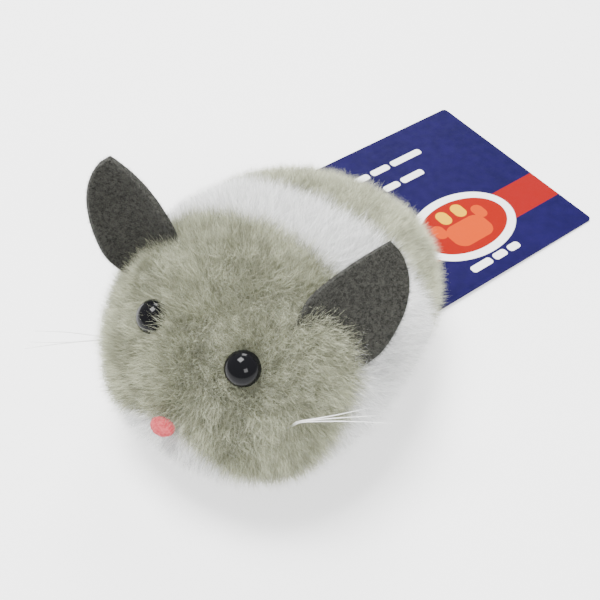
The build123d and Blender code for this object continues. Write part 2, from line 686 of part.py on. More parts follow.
print("movement")
plate_y = PLATE_HALF_LENGTH
for side, label in ((1, "left"), (-1, "right")):
    x0, x1 = sorted((side * (PLATE_X - PLATE_THICK / 2), side * (PLATE_X + PLATE_THICK / 2)))
    plate = block(x0, x1, -plate_y, plate_y, UNDERSIDE_Z, PLATE_TOP_Z)
    plate = fillet(plate.edges().filter_by(Axis.X), PLATE_CORNER)
    slot = ROLLER_R + PLATE_ROLLER_CLEARANCE
    slot_y0, slot_y1 = ROLLER_AT[0] - slot, ROLLER_AT[0] + slot
    plate = plate - block(x0 - CUT, x1 + CUT, slot_y0, slot_y1, 0, ROLLER_AT[1] + slot)
    for at, radius in (
        (GREAT_AT, WINDER_R),
        (INTER_AT, ARBOR_R),
        (AXLE_AT, AXLE_R),
        (ESCAPE_AT, ARBOR_R),
        (PALLET_AT, ARBOR_R),
    ):
        plate = plate - rod(x0 - CUT, x1 + CUT, radius + RUN_CLEARANCE, at)
    for at in PILLARS:
        plate = plate - rod(x0 - CUT, x1 + CUT, PILLAR_END_R, at)
    save(f"side_plate_{label}", plate)
inner_x = PLATE_X - PLATE_THICK / 2
outer_x = PLATE_X + PLATE_THICK / 2
for n, at in enumerate(PILLARS):
    pillar = rod(-inner_x, inner_x, PILLAR_R, at) + rod(-outer_x, outer_x, PILLAR_END_R, at)
    save(f"pillar_{n + 1}", pillar)

first_bearing = bearing_of(GREAT_AT, INTER_AT)
inter_phase = mesh_phase(GREAT_TEETH, 0.0, PINION_TEETH, first_bearing)
axle_phase = mesh_phase(WHEEL_TEETH, 0.0, PINION_TEETH, bearing_of(INTER_AT, AXLE_AT))
escape_phase = mesh_phase(WHEEL_TEETH, 0.0, PINION_TEETH, bearing_of(INTER_AT, ESCAPE_AT))

great = gear(GREAT_TEETH, 0.0, GREAT_X, WHEEL_THICK, WINDER_R + RUN_CLEARANCE, GREAT_AT)
great = lightened(great, GREAT_X, GREAT_X + WHEEL_THICK, GREAT_HOLES, 180 / SPOKES, GREAT_AT)
click_y, click_z = polar(CLICK_PIVOT_R, 0.0)
click_at = (GREAT_AT[0] + click_y, GREAT_AT[1] + click_z)
ratchet_x = GREAT_X + WHEEL_THICK + RATCHET_GAP
ratchet_end = ratchet_x + RATCHET_THICK
post = rod(GREAT_X + WHEEL_THICK / 2, ratchet_x + CLICK_POST_LENGTH, CLICK_POST_R, click_at)
save("great_wheel", great + post)

ratchet_outline = sawtooth(RATCHET_TEETH, RATCHET_R, RATCHET_ROOT_R, RATCHET_PHASE, RATCHET_LEAN)
ratchet = slab(ratchet_x, ratchet_end, ratchet_outline, GREAT_AT)
save("ratchet_wheel", ratchet - rod(ratchet_x - CUT, ratchet_end + CUT, WINDER_R, GREAT_AT))
click_outline = [polar(*place) for place in CLICK_TOE]
click_outline += [(click_y + dy, click_z + dz) for dy, dz in CLICK_BACK]
click_outline.append(polar(*CLICK_HEEL))
click = slab(ratchet_x, ratchet_end, click_outline, GREAT_AT)
click = click + rod(ratchet_x, ratchet_end, CLICK_EYE_R, click_at)
save("click", click - rod(ratchet_x - CUT, ratchet_end + CUT, CLICK_POST_R + RUN_CLEARANCE, click_at))
foot_y, foot_z = polar(*LEAF_FOOT)
leaf_outline = [(foot_y, foot_z), (foot_y + LEAF_FOOT_SIDE[0], foot_z + LEAF_FOOT_SIDE[1]), *LEAF_TIP]
foot = rod(GREAT_X + WHEEL_THICK, ratchet_end, LEAF_FOOT_R, (GREAT_AT[0] + foot_y, GREAT_AT[1] + foot_z))
leaf = slab(ratchet_x + LEAF_INSET, ratchet_end - LEAF_INSET, leaf_outline, GREAT_AT)
save("click_spring", foot + leaf)

save("winding_arbor", rod(KEY_X[0] + KEY_SOCKET, PLATE_X + WINDER_END, WINDER_R, GREAT_AT))
key_hub = rod(KEY_X[0] + KEY_HUB_INSET, KEY_X[1], KEY_HUB_R, GREAT_AT)
key_middle = (KEY_X[0] + KEY_X[1]) / 2
wing_foot = (key_middle, GREAT_AT[0], GREAT_AT[1] - KEY_WING_THICK / 2)
wing_plane = Plane(origin=wing_foot, x_dir=(1, 0, 0), z_dir=(0, 0, 1))
wing_width = KEY_X[1] - KEY_X[0]
wing_outline = RectangleRounded(wing_width, 2 * KEY_SPAN, wing_width * KEY_WING_ROUND)
wings = extrude(wing_plane * wing_outline, amount=KEY_WING_THICK)
for side in (-1, 1):
    wing_hole = Cylinder(KEY_WING_HOLE[1], 2 * KEY_HUB_R)
    wings = wings - Pos(key_middle, GREAT_AT[0] + side * KEY_WING_HOLE[0], GREAT_AT[1]) * wing_hole
key = key_hub + wings - rod(KEY_X[0] + KEY_SOCKET, 0, WINDER_R, GREAT_AT)
save("winding_key", key)
save("key_sleeve", sleeve)

spiral_steps = SPRING_STEPS * SPRING_TURNS
tail_from = bearing_of(GREAT_AT, PILLARS[1]) - SPRING_TAIL_ANGLE
pillar_reach = math.hypot(PILLARS[1][0] - GREAT_AT[0], PILLARS[1][1] - GREAT_AT[1]) - PILLAR_R
path = []
for k in range(spiral_steps + 1):
    angle = tail_from - 360 * SPRING_TURNS * (1 - k / spiral_steps)
    path.append((SPRING_INNER_R + (SPRING_OUTER_R - SPRING_INNER_R) * k / spiral_steps, angle))
for k in range(1, SPRING_TAIL_STEPS + 1):
    share = k / SPRING_TAIL_STEPS
    rise = (pillar_reach - SPRING_THICK / 2 - SPRING_OUTER_R) * share**SPRING_TAIL_POWER
    path.append((SPRING_OUTER_R + rise, tail_from + SPRING_TAIL_ANGLE * share))
spiral = [polar(r + SPRING_THICK / 2, a) for r, a in path]
spiral += [polar(r - SPRING_THICK / 2, a) for r, a in reversed(path)]
save("mainspring", slab(SPRING_X[0], SPRING_X[1], spiral, GREAT_AT))

arbor_end = PLATE_X + ARBOR_END
pinion_long = WHEEL_THICK + 2 * PINION_OVERHANG
save("inter_arbor", rod(-arbor_end, arbor_end, ARBOR_R, INTER_AT))
first_x = GREAT_X - PINION_OVERHANG
save("inter_pinion", gear(PINION_TEETH, inter_phase, first_x, pinion_long, ARBOR_R, INTER_AT))
wheel = gear(WHEEL_TEETH, 0.0, SECOND_X, WHEEL_THICK, ARBOR_R, INTER_AT)
save("inter_wheel", lightened(wheel, SECOND_X, SECOND_X + WHEEL_THICK, INTER_HOLES, 0, INTER_AT))

save("drive_axle", rod(-WHEEL_X[1] - AXLE_END, WHEEL_X[1] + AXLE_END, AXLE_R, AXLE_AT))
second_x = SECOND_X - PINION_OVERHANG
save("drive_pinion", gear(PINION_TEETH, axle_phase, second_x, pinion_long, AXLE_R, AXLE_AT))
for side, label in ((1, "left"), (-1, "right")):
    x0, x1 = sorted((side * WHEEL_X[0], side * WHEEL_X[1]))
    hub = pipe(x0, x1, HUB_R, AXLE_R, AXLE_AT)
    save(f"hub_{label}", lightened(hub, x0, x1, HUB_HOLES, 90, AXLE_AT))
    tyre = pipe(x0, x1, TYRE_R, HUB_R, AXLE_AT)
    tread = tyre.edges().filter_by(GeomType.CIRCLE).sort_by(Edge.length)[-2:]
    save(f"tyre_{label}", fillet(tread, TREAD_R))

save("escape_arbor", rod(-arbor_end, arbor_end, ARBOR_R, ESCAPE_AT))
save("escape_pinion", gear(PINION_TEETH, escape_phase, second_x, pinion_long, ARBOR_R, ESCAPE_AT))
star = slab(*STAR_X, sawtooth(STAR_TEETH, STAR_R, STAR_ROOT_R, 0.0, 0.5), ESCAPE_AT)
save("escape_wheel", star - rod(STAR_X[0] - CUT, STAR_X[1] + CUT, ARBOR_R, ESCAPE_AT))

save("pallet_arbor", rod(-arbor_end, arbor_end, ARBOR_R, PALLET_AT))
pallet_bearing = bearing_of(ESCAPE_AT, PALLET_AT)
pin_reach = STAR_R + PALLET_GAP + PALLET_PIN_R
pins = []
for spread in (-PALLET_PIN_SPREAD, PALLET_PIN_SPREAD):
    pin_y, pin_z = polar(pin_reach, pallet_bearing + spread)
    pins.append((ESCAPE_AT[0] + pin_y, ESCAPE_AT[1] + pin_z))
pallet = rod(*PALLET_X, PALLET_BOSS_R, PALLET_AT)
for pin in pins:
    dy = pin[0] - PALLET_AT[0]
    dz = pin[1] - PALLET_AT[1]
    reach = math.hypot(dy, dz)
    wide = (-dz / reach * PALLET_ARM_HALF, dy / reach * PALLET_ARM_HALF)
    arm = [wide, (-wide[0], -wide[1]), (dy - wide[0], dz - wide[1]), (dy + wide[0], dz + wide[1])]
    pallet = pallet + slab(*PALLET_X, arm, PALLET_AT) + rod(*PALLET_X, PALLET_ARM_HALF, pin)
    pallet = pallet + rod(PALLET_X[0], PALLET_PIN_END_X, PALLET_PIN_R, pin)
save("pallet", pallet - rod(PALLET_X[0] - CUT, PALLET_X[1] + CUT, ARBOR_R, PALLET_AT))

print("tag")


def tag_block(a0, a1, s0, s1, z0, z1):
    """A box given across and along the tag's direction, about the anchor."""
    place = Plane(origin=anchor_at, x_dir=tag_across, z_dir=(0, 0, 1))
    return place * block(a0, a1, s0, s1, z0, z1)


web = tag_block(-CLEVIS_HALF, CLEVIS_HALF, -CLEVIS_BACK, -CLEVIS_WEB, -WEB_HALF_HEIGHT, WEB_HALF_HEIGHT)
anchor = anchor_stem + anchor_barb + web
for side in (-1, 1):
    a0, a1 = sorted((side * CLEVIS_GAP_HALF, side * CLEVIS_HALF))
    cheek = tag_block(a0, a1, -CLEVIS_BACK, CLEVIS_FRONT, -CLEVIS_HALF_HEIGHT, CLEVIS_HALF_HEIGHT)
    anchor = anchor + cheek
pin_plane = Plane(origin=anchor_at - tag_across * CLEVIS_HALF, x_dir=tag_along, z_dir=tag_across)
anchor = anchor + extrude(pin_plane * Circle(LOOP_PIN_R), amount=2 * CLEVIS_HALF)
save("tag_anchor", anchor)

tilt = math.atan2(TAG_HOLE_Z - TAG_THICK / 2, TAG_SIZE[1] - TAG_HOLE_INSET)
far_edge = Vector(*TAG_MIDDLE, 0) + tag_along * (TAG_SIZE[1] / 2)
tag_normal = tag_along * math.sin(tilt) + Vector(0, 0, math.cos(tilt))
card_plane = Plane(origin=far_edge, x_dir=tag_across, z_dir=tag_normal)
card = Pos(0, -TAG_SIZE[1] / 2) * RectangleRounded(*TAG_SIZE, TAG_CORNER)
card = card - Pos(0, -TAG_SIZE[1] + TAG_HOLE_INSET) * Circle(TAG_HOLE_R)
save("tag_card", extrude(card_plane * card, amount=TAG_THICK))

loop_plane = Plane(origin=(anchor_at.X, anchor_at.Y, 0), x_dir=tag_along, z_dir=tag_across)
loop_path = FilletPolyline(*LOOP_CORNERS, radius=LOOP_CORNER_R, close=True)
loop_path = loop_plane * loop_path
start = loop_path.position_at(0)
section = Plane(origin=start, z_dir=loop_path.tangent_at(0)) * Circle(LOOP_R)
save("tag_loop", sweep(section, path=loop_path))
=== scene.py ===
"""Plush clockwork mouse: skin, pile, felt, beads, print and the movement's finishes, on the CAD frame.

Metres. +Z is up, the floor is Z = 0, the nose points towards -Y and +X is the mouse's left.
"""

import json
import logging
import math
from abc import ABC, abstractmethod
from dataclasses import dataclass, field
from enum import Enum

import bmesh
import bpy
import numpy as np
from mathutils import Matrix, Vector, noise

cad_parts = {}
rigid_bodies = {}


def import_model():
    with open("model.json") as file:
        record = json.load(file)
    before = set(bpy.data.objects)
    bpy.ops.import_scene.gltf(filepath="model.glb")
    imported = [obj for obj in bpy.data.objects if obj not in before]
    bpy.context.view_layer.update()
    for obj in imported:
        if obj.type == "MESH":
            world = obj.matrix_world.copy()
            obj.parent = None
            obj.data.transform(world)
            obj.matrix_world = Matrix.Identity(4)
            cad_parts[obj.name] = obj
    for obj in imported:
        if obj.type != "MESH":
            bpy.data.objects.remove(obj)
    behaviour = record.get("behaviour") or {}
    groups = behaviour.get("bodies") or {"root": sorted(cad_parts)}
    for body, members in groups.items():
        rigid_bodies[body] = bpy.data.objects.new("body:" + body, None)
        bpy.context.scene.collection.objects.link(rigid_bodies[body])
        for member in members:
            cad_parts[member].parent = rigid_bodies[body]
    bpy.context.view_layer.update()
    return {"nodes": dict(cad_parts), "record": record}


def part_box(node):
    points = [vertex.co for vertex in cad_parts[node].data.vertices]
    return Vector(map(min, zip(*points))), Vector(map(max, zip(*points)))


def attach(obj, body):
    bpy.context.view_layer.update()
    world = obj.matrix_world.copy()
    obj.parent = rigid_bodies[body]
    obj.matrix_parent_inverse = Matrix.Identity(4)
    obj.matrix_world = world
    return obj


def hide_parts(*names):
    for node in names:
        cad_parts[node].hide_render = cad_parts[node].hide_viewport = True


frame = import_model()

log = logging.getLogger("mouse")

MM = 0.001
ROOT_BODY = "mouse"
Colour = tuple[float, float, float]
Point = tuple[float, float, float]
Range = tuple[float, float]
UNIT = (0.0, 1.0)
Node = bpy.types.Node
Socket = bpy.types.NodeSocket
Tree = bpy.types.NodeTree
Material = bpy.types.Material
Thing = bpy.types.Object


class Side(Enum):
    """The mouse's own left and right."""

    LEFT = 1
    RIGHT = -1

    @property
    def label(self) -> str:
        """The side's word in a node's name."""
        return self.name.lower()


# ---------------------------------------------------------------- shader building
@dataclass(frozen=True)
class Grain:
    """The values of one use of the Speckle group."""

    scale: float
    contrast: float
    fine: float = 4.0
    stretch: Point = (1.0, 1.0, 1.0)


class Shader:
    """One material with a Principled BSDF, built up by short calls."""

    def __init__(self, name: str, base: Colour, roughness: float, **fixed: float) -> None:
        """Makes the material.

        Args:
            name: the material's name.
            base: its plain colour, linear.
            roughness: its plain roughness.
            fixed: other sockets of the Principled BSDF, with underscores for spaces.
        """
        self.material = bpy.data.materials.new(name)
        self.material.use_nodes = True
        self.nodes = self.material.node_tree.nodes
        self.links = self.material.node_tree.links
        self.surface = self.nodes["Principled BSDF"]
        self.surface.inputs["Base Color"].default_value = (*base, 1.0)
        self.surface.inputs["Roughness"].default_value = roughness
        for key, value in fixed.items():
            self.surface.inputs[key.replace("_", " ")].default_value = value
        self.material.diffuse_color = (*base, 1.0)

    def add(self, kind: str, sockets: dict | None = None, **settings: object) -> Node:
        """Adds a node.

        Args:
            kind: the node's type name without its Shader prefix.
            sockets: input values or links by socket name or number.
            settings: the node's own properties.

        Returns:
            The new node.
        """
        return add_node(self.material.node_tree, "ShaderNode" + kind, sockets, **settings)

    def group(self, tree: Tree, sockets: dict | None = None) -> Node:
        """Places a node group with its own values."""
        return add_node(self.material.node_tree, "ShaderNodeGroup", sockets, node_tree=tree)

    def feed(self, socket: str, source: Socket) -> None:
        """Links a source to one of the surface's sockets."""
        self.links.new(source, self.surface.inputs[socket])

    def bump(self, height: Socket, distance: float, strength: float = 1.0) -> None:
        """Raises the surface by a height from 0 to 1 over the distance in metres."""
        sockets = {"Height": height, "Distance": distance, "Strength": strength}
        self.feed("Normal", self.add("Bump", sockets).outputs[0])

    def ranged(
        self, value: Socket, source: Range = UNIT, target: Range = UNIT
    ) -> Socket:
        """Maps a value from one range to another, held inside it."""
        sockets = {"Value": value, 1: source[0], 2: source[1], 3: target[0], 4: target[1]}
        return self.add("MapRange", sockets).outputs[0]

    def speckled(self, speckle: Tree, grain: Grain) -> Socket:
        """Places the Speckle group with a grain's values and gives its mask."""
        values = {name.title(): value for name, value in vars(grain).items()}
        return self.group(speckle, values).outputs[0]

    def object_place(self) -> Socket:
        """The object's own coordinates."""
        return self.add("TexCoord").outputs["Object"]

    def blend(self, share: Socket, first: object, second: object) -> Socket:
        """Mixes two colours by a mask.

        Args:
            share: the mask, 0 for the first colour.
            first: a colour or a socket.
            second: a colour or a socket.

        Returns:
            The mixed colour's socket.
        """
        node = self.add("Mix", {0: share}, data_type="RGBA")
        for number, value in ((6, first), (7, second)):
            if isinstance(value, Socket):
                self.links.new(value, node.inputs[number])
            else:
                node.inputs[number].default_value = (*value, 1.0)
        return node.outputs[2]


def add_node(
    tree: Tree, kind: str, sockets: dict | None = None, **settings: object
) -> Node:
    """Adds a node to any tree, with its settings, values and links.

    Args:
        tree: the tree that gets it.
        kind: the node's full type name.
        sockets: input values or source sockets by socket name or number.
        settings: the node's own properties.

    Returns:
        The new node.
    """
    node = tree.nodes.new(kind)
    for key, value in settings.items():
        setattr(node, key, value)
    for key, value in (sockets or {}).items():
        if isinstance(value, Socket):
            tree.links.new(value, node.inputs[key])
        else:
            node.inputs[key].default_value = value
    return node


def new_group(
    name: str, inputs: dict[str, tuple[str, object]], outputs: dict[str, str]
) -> tuple[Tree, Node, Node]:
    """Makes an empty shader node group with named sockets.

    Args:
        name: the group's name.
        inputs: each input's socket type and first value.
        outputs: each output's socket type.

    Returns:
        The tree, its input node and its output node.
    """
    tree = bpy.data.node_groups.new(name, "ShaderNodeTree")
    for label, (kind, value) in inputs.items():
        socket = tree.interface.new_socket(label, in_out="INPUT", socket_type=kind)
        socket.default_value = value
    for label, kind in outputs.items():
        tree.interface.new_socket(label, in_out="OUTPUT", socket_type=kind)
    return tree, tree.nodes.new("NodeGroupInput"), tree.nodes.new("NodeGroupOutput")


FLOAT = "NodeSocketFloat"
VECTOR = "NodeSocketVector"


def speckle_group() -> Tree:
    """Two octaves of noise on the object's own coordinates, stretched and sharpened to a mask.

    Returns:
        A group with the inputs Scale, Fine, Stretch and Contrast, and the output Mask.
    """
    tree, head, tail = new_group(
        "Speckle",
        {
            "Scale": (FLOAT, 300.0),
            "Fine": (FLOAT, 4.0),
            "Stretch": (VECTOR, (1.0, 1.0, 1.0)),
            "Contrast": (FLOAT, 1.5),
        },
        {"Mask": FLOAT},
    )
    place = add_node(tree, "ShaderNodeTexCoord").outputs["Object"]
    sockets = {0: place, 1: head.outputs["Stretch"]}
    drawn = add_node(tree, "ShaderNodeVectorMath", sockets, operation="MULTIPLY").outputs[0]
    scale = head.outputs["Scale"]
    coarse = add_node(tree, "ShaderNodeTexNoise", {"Vector": drawn, "Scale": scale, "Detail": 4.0})
    finer = add_node(tree, "ShaderNodeMath", {0: scale, 1: head.outputs["Fine"]}, operation="MULTIPLY")
    fine = add_node(tree, "ShaderNodeTexNoise", {"Vector": drawn, "Scale": finer.outputs[0], "Detail": 2.0})
    both = {0: coarse.outputs[0], 1: fine.outputs[0]}
    mean = add_node(tree, "ShaderNodeMath", both, operation="ADD").outputs[0]
    lowered = add_node(tree, "ShaderNodeMath", {0: mean, 1: 1.0}, operation="SUBTRACT").outputs[0]
    sockets = {0: lowered, 1: head.outputs["Contrast"], 2: 0.5}
    sharp = add_node(tree, "ShaderNodeMath", sockets, operation="MULTIPLY_ADD", use_clamp=True)
    tree.links.new(sharp.outputs[0], tail.inputs["Mask"])
    return tree


def printed_shape_group() -> Tree:
    """A filled, rounded, turned box on a flat print; with no half size it is a round dot.

    Returns:
        A group with the inputs Place, Centre, Half Size, Corner and Edge, and the output Mask.
    """
    tree, head, tail = new_group(
        "Printed Shape",
        {
            "Place": (VECTOR, (0.0, 0.0, 0.0)),
            "Centre": (VECTOR, (0.0, 0.0, 0.0)),
            "Half Size": (VECTOR, (0.0, 0.0, 0.0)),
            "Corner": (FLOAT, 1.0 * MM),
            "Edge": (FLOAT, 0.12 * MM),
        },
        {"Mask": FLOAT},
    )

    def vector(operation: str, first: object, second: object = None) -> Socket:
        """A vector maths step.

        Args:
            operation: the step's operation.
            first: its first value or socket.
            second: its second value or socket, or None.

        Returns:
            The result's socket.
        """
        sockets = {0: first} if second is None else {0: first, 1: second}
        node = add_node(tree, "ShaderNodeVectorMath", sockets, operation=operation)
        return node.outputs["Value" if operation == "LENGTH" else "Vector"]

    flat = vector("MULTIPLY", head.outputs["Place"], (1.0, 1.0, 0.0))
    offset = vector("ABSOLUTE", vector("SUBTRACT", flat, head.outputs["Centre"]))
    beyond = vector("MAXIMUM", vector("SUBTRACT", offset, head.outputs["Half Size"]), (0.0, 0.0, 0.0))
    sockets = {0: vector("LENGTH", beyond), 1: head.outputs["Corner"]}
    gap = add_node(tree, "ShaderNodeMath", sockets, operation="SUBTRACT").outputs[0]
    sockets = {0: gap, 1: head.outputs["Edge"]}
    share = add_node(tree, "ShaderNodeMath", sockets, operation="DIVIDE").outputs[0]
    inside = add_node(tree, "ShaderNodeMath", {0: 0.5, 1: share}, operation="SUBTRACT", use_clamp=True)
    tree.links.new(inside.outputs[0], tail.inputs["Mask"])
    return tree


# ---------------------------------------------------------------- finishes
@dataclass(frozen=True)
class Finish(ABC):
    """A surface finish, which makes its own material."""

    name: str

    @abstractmethod
    def make(self, speckle: Tree) -> Material:
        """Builds the material.

        Args:
            speckle: the shared Speckle group.

        Returns:
            The finished material.
        """


@dataclass(frozen=True)
class PileFinish(Finish):
    """Polyester pile: hairs darker at the root with painted shade between the hairs, lighter at the tip, in
    uneven patches.
    """

    # painted shade: the colour each hair darkens to at its root, standing in for the shade between the hairs
    root: Colour
    middle: Colour
    tip: Colour
    patch: Colour
    patch_share: float = 0.45
    patches: Grain = Grain(150.0, 4.5, 3.0)
    root_fade: Range = (0.0, 0.55)
    tip_fade: Range = (0.45, 1.0)
    tones: Range = (0.55, 1.25)
    roughness: float = 0.72
    sheen: float = 0.15

    def make(self, speckle: Tree) -> Material:
        """Builds the material, which reads each hair's own attributes.

        Args:
            speckle: the shared Speckle group.

        Returns:
            The finished material.
        """
        shader = Shader(self.name, self.middle, self.roughness, Sheen_Weight=self.sheen, Sheen_Roughness=0.5)
        along = shader.add("Attribute", attribute_name="along").outputs["Fac"]
        tone = shader.add("Attribute", attribute_name="tone").outputs["Fac"]
        # painted shade: each hair runs from the dark root colour up to its middle colour
        lower = shader.blend(shader.ranged(along, self.root_fade), self.root, self.middle)
        whole = shader.blend(shader.ranged(along, self.tip_fade), lower, self.tip)
        sockets = {0: shader.speckled(speckle, self.patches), 1: self.patch_share}
        share = shader.add("Math", sockets, operation="MULTIPLY").outputs[0]
        patched = shader.blend(share, whole, self.patch)
        sockets = {"Color": patched, "Value": shader.ranged(tone, target=self.tones)}
        shader.feed("Base Color", shader.add("HueSaturation", sockets).outputs[0])
        return shader.material


@dataclass(frozen=True)
class BackingFinish(Finish):
    """The knitted backing that the pile grows from."""

    colour: Colour
    shade: Colour
    worn: Grain = Grain(260.0, 2.4)
    rib_scale: float = 420.0
    row_scale: float = 300.0
    rise: float = 0.15 * MM

    def make(self, speckle: Tree) -> Material:
        """Builds the knit: fine ribs crossed by rows, with speckled shade.

        Args:
            speckle: the shared Speckle group.

        Returns:
            The finished material.
        """
        shader = Shader(self.name, self.colour, 0.9, Sheen_Weight=0.2)
        shader.feed("Base Color", shader.blend(shader.speckled(speckle, self.worn), self.colour, self.shade))
        place = shader.object_place()
        ribs = {"Vector": place, "Scale": self.rib_scale, "Distortion": 1.5, "Detail": 1.0}
        rows = {"Vector": place, "Scale": self.row_scale, "Distortion": 1.0, "Detail": 1.0}
        rib = shader.add("TexWave", ribs, bands_direction="X").outputs["Fac"]
        row = shader.add("TexWave", rows, bands_direction="Y").outputs["Fac"]
        knit = shader.add("Math", {0: rib, 1: row}, operation="MULTIPLY").outputs[0]
        shader.bump(knit, self.rise, 0.8)
        return shader.material


@dataclass(frozen=True)
class FeltFinish(Finish):
    """Pressed felt: matted fibres of several greys, with a hairy bump."""

    dark: Colour
    light: Colour
    fleck: Colour
    mat: Grain = Grain(1500.0, 2.6, 2.6)
    fleck_scale: float = 2600.0
    fleck_edge: Range = (0.16, 0.05)
    fleck_share: float = 0.35
    rise: float = 0.22 * MM

    def make(self, speckle: Tree) -> Material:
        """Builds the felt's colour, its flecks and its bump.

        Args:
            speckle: the shared Speckle group.

        Returns:
            The finished material.
        """
        shader = Shader(self.name, self.dark, 0.95, Sheen_Weight=0.08, Specular_IOR_Level=0.2)
        broad = shader.speckled(speckle, self.mat)
        body = shader.blend(broad, self.dark, self.light)
        sockets = {"Vector": shader.object_place(), "Scale": self.fleck_scale, "Randomness": 1.0}
        cells = shader.add("TexVoronoi", sockets, feature="F1").outputs["Distance"]
        sockets = {0: shader.ranged(cells, self.fleck_edge), 1: self.fleck_share}
        worn = shader.add("Math", sockets, operation="MULTIPLY").outputs[0]
        shader.feed("Base Color", shader.blend(worn, body, self.fleck))
        shader.bump(broad, self.rise, 0.9)
        return shader.material


@dataclass(frozen=True)
class MouldedFinish(Finish):
    """Moulded plastic or rubber with fine grain and dull scuffs."""

    colour: Colour
    roughness: float = 0.42
    scuff: float = 0.2
    grain: float = 0.02
    shade: float = 0.82
    scuffs: Grain = Grain(180.0, 2.0, 6.0)
    texture: Grain = Grain(1600.0, 1.5, 2.0)

    def make(self, speckle: Tree) -> Material:
        """Builds the plastic: tint, scuffed roughness and grain.

        Args:
            speckle: the shared Speckle group.

        Returns:
            The finished material.
        """
        shader = Shader(self.name, self.colour, self.roughness)
        mask = shader.speckled(speckle, self.scuffs)
        darker = tuple(c * self.shade for c in self.colour)
        shader.feed("Base Color", shader.blend(mask, self.colour, darker))
        target = (self.roughness, self.roughness + self.scuff)
        shader.feed("Roughness", shader.ranged(mask, target=target))
        shader.bump(shader.speckled(speckle, self.texture), self.grain * MM, 0.6)
        return shader.material


@dataclass(frozen=True)
class MetalFinish(Finish):
    """Turned or rolled metal, with streaks drawn along one axis."""

    colour: Colour
    roughness: float = 0.3
    stretch: Point = (0.15, 1.0, 1.0)
    dull: float = 0.74
    tarnish: Grain = Grain(140.0, 2.5)
    rise: float = 0.01 * MM

    def make(self, speckle: Tree) -> Material:
        """Builds the metal: streaked roughness, slight tarnish and a brushed bump.

        Args:
            speckle: the shared Speckle group.

        Returns:
            The finished material.
        """
        shader = Shader(self.name, self.colour, self.roughness, Metallic=1.0)
        streaks = shader.speckled(speckle, Grain(900.0, 2.0, 3.0, self.stretch))
        duller = tuple(c * self.dull for c in self.colour)
        shader.feed("Base Color", shader.blend(shader.speckled(speckle, self.tarnish), self.colour, duller))
        target = (self.roughness * 0.75, self.roughness * 1.6)
        shader.feed("Roughness", shader.ranged(streaks, target=target))
        shader.bump(streaks, self.rise, 0.5)
        return shader.material


@dataclass(frozen=True)
class BeadFinish(Finish):
    """Polished black acrylic with hairline handling marks."""

    colour: Colour = (0.004, 0.004, 0.005)
    marks: Grain = Grain(400.0, 2.5, 5.0, (1.0, 0.2, 1.0))
    gloss: Range = (0.03, 0.13)

    def make(self, speckle: Tree) -> Material:
        """Builds the gloss; the marks are in its roughness.

        Args:
            speckle: the shared Speckle group.

        Returns:
            The finished material.
        """
        shader = Shader(self.name, self.colour, 0.05, Specular_IOR_Level=0.12)
        shader.feed("Roughness", shader.ranged(shader.speckled(speckle, self.marks), target=self.gloss))
        return shader.material


@dataclass(frozen=True)
class FlockFinish(Finish):
    """A flocked or nylon surface: one soft colour with pale fibres."""

    colour: Colour
    pale: Colour
    roughness: float = 0.8
    rise: float = 0.12
    fibres: Grain = Grain(1300.0, 3.0, 2.5)

    def make(self, speckle: Tree) -> Material:
        """Builds the soft colour and its fibre bump.

        Args:
            speckle: the shared Speckle group.

        Returns:
            The finished material.
        """
        shader = Shader(self.name, self.colour, self.roughness, Sheen_Weight=0.15)
        fibres = shader.speckled(speckle, self.fibres)
        shader.feed("Base Color", shader.blend(fibres, self.colour, self.pale))
        shader.bump(fibres, self.rise * MM, 0.7)
        return shader.material


